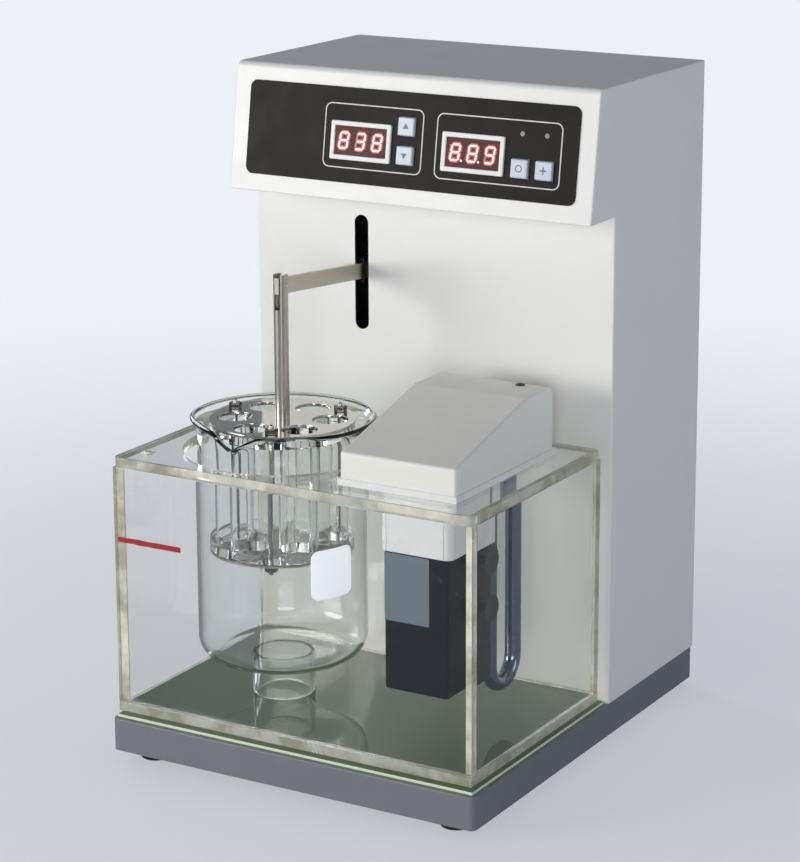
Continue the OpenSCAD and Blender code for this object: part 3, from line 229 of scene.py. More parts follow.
# what the finishes share: how strongly their texture tilts the light, and the colour of dust
surface = {"coatedBump": 0.5, "metalBump": 0.4, "metalDepth": 0.000004, "clearBump": 0.3,
           "groundGrain": 1600.0, "groundDepth": 0.00002, "litGrain": 1500.0, "litRoughness": 0.35,
           "wipedScale": 22.0, "reflectionPatchLow": 0.4, "reflectionPatchHigh": 0.6, "dust": "#b9b5aa"}


def addGroup(tree, name, **inputs):
    return addNode(tree, "Group", inputs, node_tree=groups[name]).outputs


def addBump(tree, height, depth, strength):
    return addNode(tree, "Bump",
                   {"Height": height, "Distance": depth, "Strength": strength}).outputs["Normal"]


def startMaterial(name, fixed):
    material = bpy.data.materials.new(name)
    material.use_nodes = True
    tree = material.node_tree
    shader = tree.nodes["Principled BSDF"]
    setInputs(tree, shader, fixed)
    return material, tree, shader


def coatedMaterial(name, colour, shade, clean, worn, grain, depth, dust=0.0, shine=0.5):
    # paint, plastic or rubber: an even colour with a slow mottle, fine grain, handling and dust
    material, tree, shader = startMaterial(name, {"Specular IOR Level": shine})
    texture = addGroup(tree, "grain", Scale=grain)
    handled = addGroup(tree, "smudge", Clean=clean, Worn=worn)
    paint = blendColours(tree, texture["Mottle"], tint(colour), tint(shade))
    if dust:
        settled = addGroup(tree, "dust", Amount=dust)
        paint = blendColours(tree, settled["Mask"], paint, tint(surface["dust"]))
    bump = addBump(tree, texture["Height"], depth, surface["coatedBump"])
    setInputs(tree, shader, {"Base Color": paint, "Roughness": handled["Roughness"], "Normal": bump})
    return material


def metalMaterial(name, colour, shade, clean, worn, stretch):
    # bare metal with brush or turning lines along one axis
    material, tree, shader = startMaterial(name, {"Metallic": 1.0})
    lines = addGroup(tree, "brushed", Clean=clean, Worn=worn, Stretch=stretch)
    bare = blendColours(tree, lines["Streak"], tint(colour), tint(shade))
    bump = addBump(tree, lines["Height"], surface["metalDepth"], surface["metalBump"])
    setInputs(tree, shader, {"Base Color": bare, "Roughness": lines["Roughness"], "Normal": bump})
    return material


def clearMaterial(name, colour, shade, clean, worn, weight, ior, shadow, wave=0.0, scale=18.0,
                  reflectionPatches=False):
    # clear sheet or glass: light passes through it in shadows, so what stands inside stays lit
    material, tree, shader = startMaterial(name, {"Transmission Weight": weight, "IOR": ior})
    texture = addGroup(tree, "grain", Scale=scale)
    handled = addGroup(tree, "smudge", Clean=clean, Worn=worn, Scale=surface["wipedScale"])
    share = texture["Mottle"]
    # on sawn edges the darker shade lies in patches: painted reflections
    if reflectionPatches:
        share = addRange(tree, texture["Height"], surface["reflectionPatchLow"], surface["reflectionPatchHigh"])
    setInputs(tree, shader, {"Base Color": blendColours(tree, share, tint(colour), tint(shade)),
                             "Roughness": handled["Roughness"]})
    if wave:
        bump = addBump(tree, texture["Height"], wave, surface["clearBump"])
        setInputs(tree, shader, {"Normal": bump})
    path = addNode(tree, "LightPath").outputs
    passing = addMath(tree, "MAXIMUM", path["Is Shadow Ray"], path["Is Diffuse Ray"])
    through = addNode(tree, "BsdfTransparent", {"Color": tint(shadow)})
    blendShaders(tree, passing, shader, through, "Material Output")
    return material


def patchMaterial(name, colour, shade, glow, rough):
    # ground glass with a painted glow: its emission stands in for the light that falls through it, a
    # little brighter than plain white paint
    material, tree, shader = startMaterial(name, {"Emission Strength": glow, "Roughness": rough})
    texture = addGroup(tree, "grain", Scale=surface["groundGrain"])
    ground = blendColours(tree, texture["Height"], tint(colour), tint(shade))
    bump = addBump(tree, texture["Height"], surface["groundDepth"], surface["coatedBump"])
    setInputs(tree, shader, {"Base Color": ground, "Emission Color": ground, "Normal": bump})
    return material


def glowMaterial(name, colour, shade, strength):
    # a lit segment behind the red window
    material, tree, shader = startMaterial(name, {"Emission Strength": strength,
                                                  "Roughness": surface["litRoughness"]})
    texture = addGroup(tree, "grain", Scale=surface["litGrain"])
    lit = blendColours(tree, texture["Height"], tint(colour), tint(shade))
    setInputs(tree, shader, {"Emission Color": lit, "Base Color": lit})
    return material


# colour and shade, roughness where clean and where worn, grain, depth of the grain, dust and shine
coats = {
    "ivory": ("#f3f2ee", "#eeece7", 0.30, 0.40, 700, 0.000025, 0.05),
    # painted shade: the inner faces of the column and cover are the ivory paint, coloured dark for the
    # shade inside them
    "ivoryInside": ("#3a3936", "#2f2e2c", 0.6, 0.75, 900, 0.00002),
    "plinth": ("#7c7e84", "#727479", 0.38, 0.5, 700, 0.00003, 0.12),
    "cover": ("#f4f2eb", "#edeae1", 0.34, 0.46, 1500, 0.00002, 0.06),
    "whitePlastic": ("#f3f3f1", "#ecece9", 0.26, 0.36, 1300, 0.00001),
    "bezel": ("#f2f2ee", "#e9e9e4", 0.32, 0.42, 1600, 0.00001),
    "keys": ("#d3d9e2", "#c8d0dc", 0.24, 0.36, 1600, 0.00001),
    "keyMark": ("#6d7f9c", "#5f7190", 0.45, 0.55, 1600, 0.000005),
    "overlay": ("#24211f", "#1f1d1b", 0.42, 0.5, 2200, 0.000006, 0.0, 0.12),
    "outline": ("#e8e6e1", "#dedcd6", 0.5, 0.6, 2000, 0.000005),
    "window": ("#5e3234", "#50292b", 0.35, 0.45, 900, 0.000004, 0.0, 0.15),
    "darkPlastic": ("#17181a", "#101113", 0.42, 0.55, 1300, 0.00002, 0.1),
    "pumpBox": ("#0b1620", "#081018", 0.2, 0.28, 260, 0.000006, 0.0, 0.2),
    "pumpLabel": ("#6c7985", "#65717d", 0.34, 0.45, 1500, 0.000008),
    "rubber": ("#1b1b1c", "#141415", 0.6, 0.78, 900, 0.00004, 0.15),
    "cupRubber": ("#0c1016", "#080b10", 0.4, 0.55, 900, 0.00002),
    "mat": ("#64785c", "#596d52", 0.3, 0.44, 420, 0.00004),
    # the mat's edges: partly the sheet's own green, painted much paler than its top as a highlight
    "matEdge": ("#e4f1d3", "#d2e4bf", 0.35, 0.5, 600, 0.00003),
    "board": ("#0e5a2b", "#0a4b24", 0.25, 0.4, 1200, 0.00003),
    "motorPaint": ("#4a4d52", "#404348", 0.4, 0.55, 700, 0.00003, 0.2),
    "redInk": ("#b3141d", "#980f17", 0.4, 0.55, 900, 0.00002),
    "lampLens": ("#958c86", "#857b75", 0.18, 0.3, 900, 0.000004),
    "segmentDark": ("#a08d86", "#8f7c76", 0.3, 0.4, 900, 0.000004),
}
# colour and shade, roughness where clean and where worn, and how the brush lines are drawn out
metals = {
    "steel": ("#c3beb5", "#b2ada4", 0.24, 0.36, (900.0, 900.0, 25.0)),
    "armSteel": ("#cbc5b9", "#b9b3a7", 0.26, 0.38, (900.0, 18.0, 900.0)),
    "nutSteel": ("#7d7a75", "#6b6863", 0.14, 0.24, (500.0, 500.0, 500.0)),
    "polished": ("#cfcdc8", "#c6c4bf", 0.05, 0.11, (420.0, 420.0, 420.0)),
    "wire": ("#b3b0a9", "#9e9b94", 0.25, 0.36, (500.0, 500.0, 500.0)),
    # heater: partly the steel's own grey, tinted blue as a painted reflection of blue surroundings
    "heater": ("#7f8fa4", "#66768b", 0.08, 0.18, (60.0, 60.0, 900.0)),
    "zinc": ("#a3a6ab", "#8e9298", 0.3, 0.46, (40.0, 300.0, 300.0)),
    "darkAlloy": ("#4c4d50", "#3f4043", 0.35, 0.5, (30.0, 800.0, 800.0)),
    "brass": ("#c9a45a", "#b8934d", 0.25, 0.38, (400.0, 400.0, 400.0)),
    "bronze": ("#9a7443", "#8a6739", 0.38, 0.52, (500.0, 500.0, 500.0)),
}
# colour and shade, roughness where clean and where worn, clearness, refraction, colour of the light
# let through, depth and scale of the waves, and whether the shade lies in patches
clears = {
    "sheetFace": ("#fefefe", "#fdfdfd", 0.0, 0.012, 1.0, 1.49, "#fcfcfb", 0.00004, 9.0),
    # sheetEdge: the milky cream is the sawn edges' own colour; the darker patches in it are painted
    # reflections
    "sheetEdge": ("#fdfbf0", "#cfcdb4", 0.14, 0.3, 0.5, 1.49, "#ecebe2", 0.00006, 45.0, True),
    "rackSheet": ("#fcfdfd", "#f8fafa", 0.01, 0.04, 1.0, 1.22, "#f8fafa"),
    "tubeGlass": ("#fefefe", "#fcfdfd", 0.0, 0.01, 1.0, 1.12, "#fbfcfc"),
    "glass": ("#fdfefe", "#fafcfc", 0.0, 0.01, 1.0, 1.45, "#fafcfc", 0.00005, 12.0),
}
# colour and shade, and how strongly it glows
glows = {
    "segmentLit": ("#ffd2ca", "#ffc2b8", 1.0),
    "segmentHalo": ("#c02c30", "#a3242a", 0.75),
}
# the frosted patch glows a little: painted light for the light that falls through it
looks = {"frostedPatch": patchMaterial("frostedPatch", "#fbfdff", "#eef3fb", 0.55, 0.6)}
for make, settings in ((coatedMaterial, coats), (metalMaterial, metals), (clearMaterial, clears),
                       (glowMaterial, glows)):
    for name, setting in settings.items():
        looks[name] = make(name, *setting)
print("materials:", len(looks))


# mesh helpers
flat = math.radians(1)  # faces closer than this in slope are one face
square = 0.9  # a normal with more than this share along a way looks along it
crease = math.radians(32)  # edges sharper than this stay sharp in the shading


def middle(edge):
    return (edge.verts[0].co + edge.verts[1].co) / 2


def vertsOf(geom):
    return [g for g in geom if isinstance(g, bmesh.types.BMVert)]


def edgesOf(geom):
    return [g for g in geom if isinstance(g, bmesh.types.BMEdge)]


def tidyMesh(bm):
    # merges the doubles of a CAD mesh and makes its flat faces whole
    bmesh.ops.remove_doubles(bm, verts=bm.verts, dist=seam)
    bmesh.ops.dissolve_limit(bm, angle_limit=flat, verts=bm.verts, edges=bm.edges)


def cadCopy(node):
    bm = bmesh.new()
    bm.from_mesh(cadNodes[node].data)
    tidyMesh(bm)
    return bm


def bodyOf(node):
    return cadNodes[node]["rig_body"]


def faceOutwards(bm):
    bmesh.ops.recalc_face_normals(bm, faces=bm.faces)


def addFace(bm, corners):
    return bm.faces.new([bm.verts.new(corner) for corner in corners])


def move(bm, matrix):
    bmesh.ops.transform(bm, matrix=matrix, verts=bm.verts)


def absorb(bm, part, place=None):
    # adds one bmesh to another and frees it
    if place is not None:
        move(part, place)
    mesh = bpy.data.meshes.new("passing")
    part.to_mesh(mesh)
    part.free()
    bm.from_mesh(mesh)
    bpy.data.meshes.remove(mesh)


def roundEdges(bm, width, segments=2, sharper=30, longer=0.0, chosen=None):
    picked = [e for e in bm.edges if len(e.link_faces) == 2
              and e.calc_face_angle(0) > math.radians(sharper) and e.calc_length() > longer
              and (chosen is None or chosen(e))]
    bmesh.ops.bevel(bm, geom=picked, offset=width, segments=segments, profile=0.5,
                    affect="EDGES", clamp_overlap=True, material=-1)


def addBox(bm, low, high, bevel=0.0):
    part = bmesh.new()
    bmesh.ops.create_cube(part, size=1)
    low, high = Vector(low), Vector(high)
    bmesh.ops.scale(part, vec=high - low, verts=part.verts)
    bmesh.ops.translate(part, vec=(low + high) / 2, verts=part.verts)
    if bevel:
        roundEdges(part, bevel)
    absorb(bm, part)


def cutThrough(bm, spot, way, **settings):
    # a cut through all faces, square to the way given
    bmesh.ops.bisect_plane(bm, geom=bm.verts[:] + bm.edges[:] + bm.faces[:],
                           plane_co=spot, plane_no=way, **settings)


def extrudeFaces(bm, faces, shift):
    # draws faces out into a solid
    out = bmesh.ops.extrude_face_region(bm, geom=faces)["geom"]
    bmesh.ops.translate(bm, vec=shift, verts=vertsOf(out))
    faceOutwards(bm)


def paintFaces(bm, index, test=None):
    # gives a material index to the faces that the test picks, or to all
    for face in bm.faces:
        if test is None or test(face):
            face.material_index = index


def arcPoints(cx, cz, radius, start, stop, count):
    turns = [math.radians(start + (stop - start) * i / count) for i in range(count + 1)]
    return [(cx + radius * math.cos(a), cz + radius * math.sin(a)) for a in turns]


def roundCorners(width, height, radius, steps):
    # the outline of a rectangle with round corners
    points = []
    for sx, sz, start in ((1, 1, 0), (-1, 1, 90), (-1, -1, 180), (1, -1, 270)):
        points += arcPoints(sx * (width / 2 - radius), sz * (height / 2 - radius), radius,
                            start, start + 90, steps)
    return points


def lathe(profile, steps, closed=False):
    # turns a profile of (radius, height) points about Z
    bm = bmesh.new()
    verts = [bm.verts.new((r, 0, z)) for r, z in profile]
    pairs = list(zip(verts, verts[1:])) + ([(verts[-1], verts[0])] if closed else [])
    edges = [bm.edges.new(pair) for pair in pairs]
    bmesh.ops.spin(bm, geom=verts + edges, cent=(0, 0, 0), axis=(0, 0, 1), dvec=(0, 0, 0),
                   angle=fullTurn, steps=steps, use_merge=True)
    bmesh.ops.remove_doubles(bm, verts=bm.verts, dist=seam / 10)
    bmesh.ops.dissolve_degenerate(bm, dist=seam / 10, edges=bm.edges)
    faceOutwards(bm)
    return bm


def roundPlate(width, height, radius, depth, steps):
    # a plate with round corners in the XZ plane, its back at y = 0 and its front at y = -depth
    bm = bmesh.new()
    face = addFace(bm, [(x, 0, z) for x, z in roundCorners(width, height, radius, steps)])
    extrudeFaces(bm, [face], (0, -depth, 0))
    return bm


def roundRing(width, height, radius, line, depth, steps):
    # a frame of the given line width, lying like roundPlate
    bm = bmesh.new()
    loops = []
    for inset in (0, line):
        corner = max(radius - inset, 0.0002)
        rim = roundCorners(width - 2 * inset, height - 2 * inset, corner, steps)
        verts = [bm.verts.new((x, 0, z)) for x, z in rim]
        loops += [bm.edges.new(pair) for pair in zip(verts, verts[1:] + verts[:1])]
    extrudeFaces(bm, bmesh.ops.bridge_loops(bm, edges=loops)["faces"], (0, -depth, 0))
    return bm


def addMesh(name, bm, materials):
    mesh = bpy.data.meshes.new(name)
    bm.to_mesh(mesh)
    bm.free()
    for material in materials:
        mesh.materials.append(material)
    return addObject(name, mesh)


def finishPiece(name, bm, body, materials, replaced=(), even=True):
    piece = addMesh(name, bm, [looks[material] for material in materials])
    piece.data.shade_smooth()
    piece.data.set_sharp_from_angle(angle=crease)
    if even:
        piece.modifiers.new("evenShading", "WEIGHTED_NORMAL").keep_sharp = True
    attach(piece, body)
    if replaced:
        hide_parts(*replaced)


def dressNode(node, name, slot, look, width, segments=2, **picking):
    # a CAD node's own shape with its edges broken
    bm = cadCopy(node)
    roundEdges(bm, width, segments, **picking)
    finishPiece(name, bm, bodyOf(node), [look], [node])


# room and floor
def seenDirectly(tree):
    # 1 for rays from the camera, mirrors and clear pieces
    path = addNode(tree, "LightPath").outputs
    first = addMath(tree, "MAXIMUM", path["Is Camera Ray"], path["Is Glossy Ray"])
    return addMath(tree, "MAXIMUM", first, path["Is Transmission Ray"])


def seenInMirror(tree):
    # 1 once a ray has been mirrored anywhere on its way, also inside a clear piece
    return addMath(tree, "MINIMUM", addNode(tree, "LightPath").outputs["Glossy Depth"], 1.0)


def dimInMirror(tree):
    # how bright the pale room is: less in mirror rays
    return addRange(tree, seenInMirror(tree), 0.0, 1.0, 1.0, room["mirrored"])


def setRoom():
    # a soft even room; what the camera and clear pieces see of it is paler than its light
    world = bpy.data.worlds.new("studioRoom")
    bpy.context.scene.world = world
    world.use_nodes = True
    tree = world.node_tree
    ambient = tree.nodes["Background"]
    setInputs(tree, ambient, {"Color": tint(room["ambient"]), "Strength": room["ambientStrength"]})
    parts = addNode(tree, "SeparateXYZ", {0: coordinates(tree, "Generated")})
    height = addRange(tree, parts.outputs["Z"], room["horizonHeight"], room["zenithHeight"])
    colour = blendColours(tree, height, tint(room["horizon"]), tint(room["zenith"]))
    seen = addNode(tree, "Background", {"Color": colour, "Strength": dimInMirror(tree)})
    blendShaders(tree, seenDirectly(tree), ambient, seen, "World Output")


def makeFloor():
    # a pale floor that fades into the room's horizon
    material, tree, shader = startMaterial("paleFloor", {"Roughness": floor["roughness"]})
    colour = blendColours(tree, seenInMirror(tree), tint(floor["colour"]), tint(floor["mirrored"]))
    setInputs(tree, shader, {"Base Color": colour})
    reach = addNode(tree, "VectorMath", {0: coordinates(tree)}, operation="LENGTH")
    fade = addRange(tree, reach.outputs["Value"], floor["fadeFrom"], floor["fadeTo"],
                    floor["leastFade"], interpolation_type="SMOOTHSTEP")
    far = addNode(tree, "Emission", {"Color": tint(room["horizon"]),
                                               "Strength": dimInMirror(tree)})
    share = addMath(tree, "MULTIPLY", fade, seenDirectly(tree))
    blendShaders(tree, share, shader, far, "Material Output")
    bm = bmesh.new()
    bmesh.ops.create_circle(bm, cap_ends=True, radius=floor["radius"], segments=floor["sides"])
    addMesh("paleFloor", bm, [material])


def setScene():
    scene = bpy.context.scene
    scene.view_settings.view_transform = "Standard"
    scene.cycles.max_bounces = room["bounces"]
    scene.cycles.transmission_bounces = room["bounces"]
    scene.cycles.transparent_max_bounces = room["bounces"]


# base: plinth, mat and feet
base = {"plinthBevel": 0.0011, "plinthEdge": 0.0005, "matBevel": 0.0004, "footBevel": 0.0009}


def makeBase():
    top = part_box("plinth")[1].z
    dressNode("plinth", "plinthShell", "plinth_paint", "plinth", base["plinthBevel"], 3,
              longer=base["plinthEdge"], chosen=lambda e: middle(e).z > top - hair and e.is_convex)
    bm = bmesh.new()
    addBox(bm, *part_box("tank_mat"), base["matBevel"])
    # painted highlight: the mat's side faces take the pale edge colour
    paintFaces(bm, 1, lambda f: f.normal.z < square)
    finishPiece("matSheet", bm, "case", ["mat", "matEdge"], ["tank_mat"])
    dressNode("rubber_feet", "feetRubber", "rubber", "rubber", base["footBevel"], 3,
              sharper=40, chosen=lambda e: middle(e).z < thread and e.is_convex)


# column: sheet-metal shell with a slanted hood
column = {"bevel": 0.0010, "edge": 0.0005, "recess": 0.0085, "heart": (0.0, 0.09, 0.37)}


def makeColumn():
    low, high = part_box("column_shell")
    heart = Vector(column["heart"])
    back = high.y - column["recess"]  # the rim behind this is painted as the outside is
    bm = cadCopy("column_shell")

    def outer(edge):
        spot = middle(edge)
        atSide = abs(spot.x) > high.x - hair and spot.z > low.z + hair and spot.y < high.y - hair
        underHood = spot.y < low.y + hair
        return edge.is_convex and (atSide or underHood)

    def inside(face):
        spot = face.calc_center_median()
        return face.normal.dot(spot - heart) < 0 and spot.y < back

    roundEdges(bm, column["bevel"], 3, sharper=25, longer=column["edge"], chosen=outer)
    cutThrough(bm, (0, back, 0), (0, 1, 0), dist=seam / 10)
    # painted shade: faces that look into the shell, ahead of the back rim, take the dark inside colour
    paintFaces(bm, 1, inside)
    finishPiece("columnShell", bm, "case", ["ivory", "ivoryInside"], ["column_shell"])


# control panel; places are across and up the hood's face from its lower edge
panel = {
    "faceHeight": 0.080, "faceLean": 0.012, "filmFront": 0.0008, "filmBevel": 0.00015,
    "outlines": ((-0.02475, 0.0400, 0.0705, 0.0400), (0.0626, 0.0393, 0.0858, 0.0400)),
    "outlineRadius": 0.0045, "outlineWidth": 0.0007, "outlineDepth": 0.00008,
    "displays": {"left": (-0.0330, 0.0372), "right": (0.0460, 0.0364)},
    "bezel": (0.043, 0.024), "bezelRadius": 0.001, "bezelDepth": 0.0015, "bezelBevel": 0.0005,
    "window": (0.0370, 0.0182), "windowPlay": 0.0002, "windowSink": 0.0005, "windowDepth": 0.003,
    "windowBevel": 0.0001,
    "keys": {"left_key_upper": (-0.001, 0.049), "left_key_lower": (-0.001, 0.0312),
             "right_key_inner": (0.0785, 0.0302), "right_key_outer": (0.095, 0.0302)},
    "keyFront": 0.0028, "keyBevel": 0.0010, "printDepth": 0.00006, "printSink": 0.0003,
    "arrow": (0.0022, 0.0014), "ring": (0.0046, 0.0022, 0.0007), "plus": (0.0024, 0.0004),
}
digits = {
    "height": 0.0096, "width": 0.0056, "pitch": 0.0119, "bar": 0.0012, "lean": 0.14, "gap": 0.00012,
    "halo": 0.0009, "haloDepth": 0.00004, "litDepth": 0.00008, "darkDepth": 0.00003,
    "dotSize": 0.6, "dotPlace": 0.78, "dotSides": 10,
    "shown": {"left": ("8", "3", "8"), "right": ("8.", "8.", "9")},
    "segments": {"3": "abcdg", "8": "abcdefg", "9": "abcdfg"},
}


def faceMatrix():
    # from the hood face's own frame (x across, -y out of it, z up it) to the room
    low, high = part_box("column_shell")
    lean = math.atan2(panel["faceLean"], panel["faceHeight"])
    start = at((0, low.y, high.z - panel["faceHeight"]))
    return start @ Matrix.Rotation(-lean, 4, "X")


onFace = faceMatrix()


def segmentBars(wide):
    # the outlines of a digit's seven bars, each wider all round by the amount given
    w, h = digits["width"] / 2, digits["height"] / 2
    t = digits["bar"] / 2 + wide
    spots = {"a": (0, h, w, False), "g": (0, 0, w, False), "d": (0, -h, w, False),
             "f": (-w, h / 2, h / 2, True), "b": (w, h / 2, h / 2, True),
             "e": (-w, -h / 2, h / 2, True), "c": (w, -h / 2, h / 2, True)}
    bars = {}
    for key, (x, z, half, upright) in spots.items():
        half += wide - digits["gap"]
        end = half - t
        outline = [(-half, 0), (-end, t), (end, t), (half, 0), (end, -t), (-end, -t)]
        bars[key] = [(x + b, z + a) if upright else (x + a, z + b) for a, b in outline]
    return bars


def addBar(bm, outline, cx, cz, front, depth, index):
    part = bmesh.new()
    face = addFace(part, [(cx + x + digits["lean"] * z, -front, cz + z) for x, z in outline])
    extrudeFaces(part, [face], (0, -depth, 0))
    paintFaces(part, index)
    absorb(bm, part)


def makeDisplay(side, cx, cz):
    # a red window with its digits, and the white bezel round it; halos lie under the lit segments
    lit, halo, dark = 1, 2, 3
    wide, high = panel["window"]
    play, deep = panel["windowPlay"], panel["windowDepth"]
    front = panel["filmFront"] + panel["bezelDepth"] - panel["windowSink"]
    bm = bmesh.new()
    pane = roundPlate(wide - play, high - play, play, deep, 1)
    roundEdges(pane, panel["windowBevel"], 1)
    absorb(bm, pane, at((cx, -front + deep, cz)))
    for place, shown in enumerate(digits["shown"][side]):
        dx = cx + (place - 1) * digits["pitch"]
        lines = digits["segments"][shown[0]]
        for key, outline in segmentBars(digits["halo"]).items():
            if key in lines:
                addBar(bm, outline, dx, cz, front, digits["haloDepth"], halo)
        for key, outline in segmentBars(0).items():
            depth = digits["litDepth" if key in lines else "darkDepth"]
            addBar(bm, outline, dx, cz, front, depth, lit if key in lines else dark)
        if shown.endswith("."):
            dot = arcPoints(0, 0, digits["bar"] * digits["dotSize"], 0, 360, digits["dotSides"])[:-1]
            addBar(bm, dot, dx + digits["width"] * digits["dotPlace"], cz - digits["height"] / 2,
                   front, digits["litDepth"], lit)
    move(bm, onFace)
    finishPiece(side + "Display", bm, "case",
                ["window", "segmentLit", "segmentHalo", "segmentDark"], ["display_windows"], even=False)
    depth = panel["bezelDepth"]
    bm = roundRing(*panel["bezel"], panel["bezelRadius"], (panel["bezel"][0] - wide) / 2, depth, 4)
    roundEdges(bm, panel["bezelBevel"], 3, chosen=lambda e: middle(e).y < -depth + seam)
    move(bm, onFace @ at((cx, -panel["filmFront"], cz)))
    finishPiece(side + "Bezel", bm, "case", ["bezel"], ["display_bezels"])


def keyMarks(name, cx, cz):
    # a plain printed mark on each key: up, down, a ring and a plus
    bm = bmesh.new()
    out = panel["keyFront"] + panel["printDepth"]
    back = panel["keyFront"] - panel["printSink"]
    tip, tail = panel["arrow"]
    arrows = {"left_key_upper": ((-tip, -tail), (tip, -tail), (0, tip)),
              "left_key_lower": ((-tip, tail), (0, -tip), (tip, tail))}
    if name in arrows:
        face = addFace(bm, [(cx + x, -back, cz + z) for x, z in arrows[name]])
        extrudeFaces(bm, [face], (0, back - out, 0))
    elif name == "right_key_inner":
        size, radius, line = panel["ring"]
        ring = roundRing(size, size, radius, line, out - back, 6)
        absorb(bm, ring, at((cx, -back, cz)))
    else:
        arm, half = panel["plus"]
        addBox(bm, (cx - arm, -out, cz - half), (cx + arm, -back, cz + half))
        addBox(bm, (cx - half, -out, cz - arm), (cx + half, -back, cz + arm))
    paintFaces(bm, 1)
    return bm


def makePanel():
    toFace = onFace.inverted()
    film, keyFront = panel["filmFront"], panel["keyFront"]
    dressNode("control_fascia", "panelFilm", "dark_overlay", "overlay", panel["filmBevel"], 1,
              chosen=lambda e: (toFace @ middle(e)).y < -film + hair)
    for number, (cx, cz, width, height) in enumerate(panel["outlines"]):
        bm = roundRing(width, height, panel["outlineRadius"], panel["outlineWidth"],
                       panel["outlineDepth"], 8)
        move(bm, onFace @ at((cx, -film + hair, cz)))
        finishPiece("panelOutline" + str(number + 1), bm, "case", ["outline"],
                    even=False)
    for side, (cx, cz) in panel["displays"].items():
        makeDisplay(side, cx, cz)
    for name, (cx, cz) in panel["keys"].items():
        bm = cadCopy(name)
        roundEdges(bm, panel["keyBevel"], 3, chosen=lambda e: (toFace @ middle(e)).y < -keyFront + hair)
        absorb(bm, keyMarks(name, cx, cz), onFace)
        finishPiece(name + "_cap", bm, bodyOf(name), ["keys", "keyMark"], [name])


# lift and hanger
lift = {"armBevel": 0.00035, "armEdge": 0.001, "hangerBevel": 0.00025, "hangerEdge": 0.0012}


def makeLift():
    dressNode("lift_arm", "armBar", "stainless", "armSteel", lift["armBevel"], longer=lift["armEdge"])
    dressNode("hanger_tube", "hangerTube", "stainless", "steel", lift["hangerBevel"],
              sharper=50, longer=lift["hangerEdge"])


# basket: steel disc, clear plates, six glass tubes, woven mesh and tie bolts
basket = {"tubes": 6, "tubeRing": 0.0295, "tubeRadius": 0.012, "tubeWall": 0.00125, "turn": 23,
          "bolts": 3, "boltRing": 0.038, "boltRadius": 0.0015, "boltEdge": 0.0005, "boltTip": 0.0022,
          "nutRadius": 0.00404, "nutHeight": 0.004, "nutBevel": 0.09,
          "collar": (0.0001, 0.0007, 0.0009, 0.00001, 0.00025), "collarSink": 0.0002,
          "hangerNut": (0.006, 0.003, 0.002), "ringHeight": 0.0012, "wireRadius": 0.00024,
          "wireSides": 6, "wirePitch": 0.0026, "meshReach": 0.0437, "discBevel": 0.0003,
          "plateBevel": 0.0005}


def axisOf(node):
    low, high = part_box(node)
    return Vector(((low.x + high.x) / 2, (low.y + high.y) / 2, 0))


def around(axis, radius, angle, z):
    turn = math.radians(angle)
    return Vector((axis.x + radius * math.cos(turn), axis.y + radius * math.sin(turn), z))


def makeTubes():
    low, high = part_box("basket_tubes")
    axis = axisOf("basket_disc")
    lip = basket["tubeWall"] / 2
    centre = basket["tubeRadius"] - lip
    profile = (arcPoints(centre, high.z - low.z - lip, lip, 0, 180, 6)
               + arcPoints(centre, lip, lip, 180, 360, 6))
    bm = bmesh.new()
    for number in range(basket["tubes"]):
        angle = basket["turn"] + 360 / basket["tubes"] * number
        place = around(axis, basket["tubeRing"], angle, low.z)
        absorb(bm, lathe(profile, 48, True), at(place))
    finishPiece("glassTubes", bm, "basket", ["tubeGlass"], ["basket_tubes"], even=False)


def addNut(bm, place, radius, bore):
    # a six-sided nut with its corners broken, and a small collar round the bolt
    height = basket["nutHeight"]
    part = bmesh.new()
    bmesh.ops.create_cone(part, cap_ends=True, segments=6, radius1=radius, radius2=radius, depth=height)
    roundEdges(part, radius * basket["nutBevel"], chosen=lambda e: abs(middle(e).z) > height / 2 - seam)
    paintFaces(part, 1)
    absorb(bm, part, at(place + up * (height / 2)))
    inner, upper, lower, sink, rise = basket["collar"]
    ring = [(bore + inner, -sink), (bore + upper, -sink), (bore + lower, rise), (bore + inner, rise)]
    absorb(bm, lathe(ring, 24, True), at(place + up * (height - basket["collarSink"])))


def makeTieBolts():
    low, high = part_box("basket_tie_bolts")
    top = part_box("basket_disc")[1].z
    axis = axisOf("basket_disc")
    r, edge = basket["boltRadius"], basket["boltEdge"]
    rod = [(0, 0)] + arcPoints(r - edge, edge, edge, -90, 0, 4)
    rod += arcPoints(0, high.z - low.z - r, r, 0, 90, 6)
    bm = bmesh.new()
    for number in range(basket["bolts"]):
        angle = basket["turn"] + 180 / basket["tubes"] + 360 / basket["bolts"] * number
        absorb(bm, lathe(rod, 24), at(around(axis, basket["boltRing"], angle, low.z)))
        for z in (low.z + basket["boltTip"], top):
            addNut(bm, around(axis, basket["boltRing"], angle, z), basket["nutRadius"], r)
    radius, bore, rise = basket["hangerNut"]
    addNut(bm, Vector((axis.x, axis.y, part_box("hanger_tube")[0].z + rise)), radius, bore)
    finishPiece("tieBolts", bm, "basket", ["polished", "nutSteel"], ["basket_tie_bolts"])


def addWire(bm, start, stop, phase, sway):
    # one wire of the weave: a thin strand that goes over and under its neighbours
    sides = basket["wireSides"]
    along = stop - start
    count = max(2, round(along.length / basket["wirePitch"]))
    side = along.normalized().cross(up)
    rings = []
    for i in range(count + 1):
        centre = start + along * (i / count) + up * (sway * (1 if (i + phase) % 2 else -1))
        turns = [k * fullTurn / sides for k in range(sides)]
        spokes = [side * math.cos(a) + up * math.sin(a) for a in turns]
        rings.append([bm.verts.new(centre + spoke * basket["wireRadius"]) for spoke in spokes])
    for first, second in zip(rings, rings[1:]):
        for k in range(sides):
            bm.faces.new((first[k], first[(k + 1) % sides], second[(k + 1) % sides], second[k]))
    bm.faces.new(rings[0][::-1])
    bm.faces.new(rings[-1])


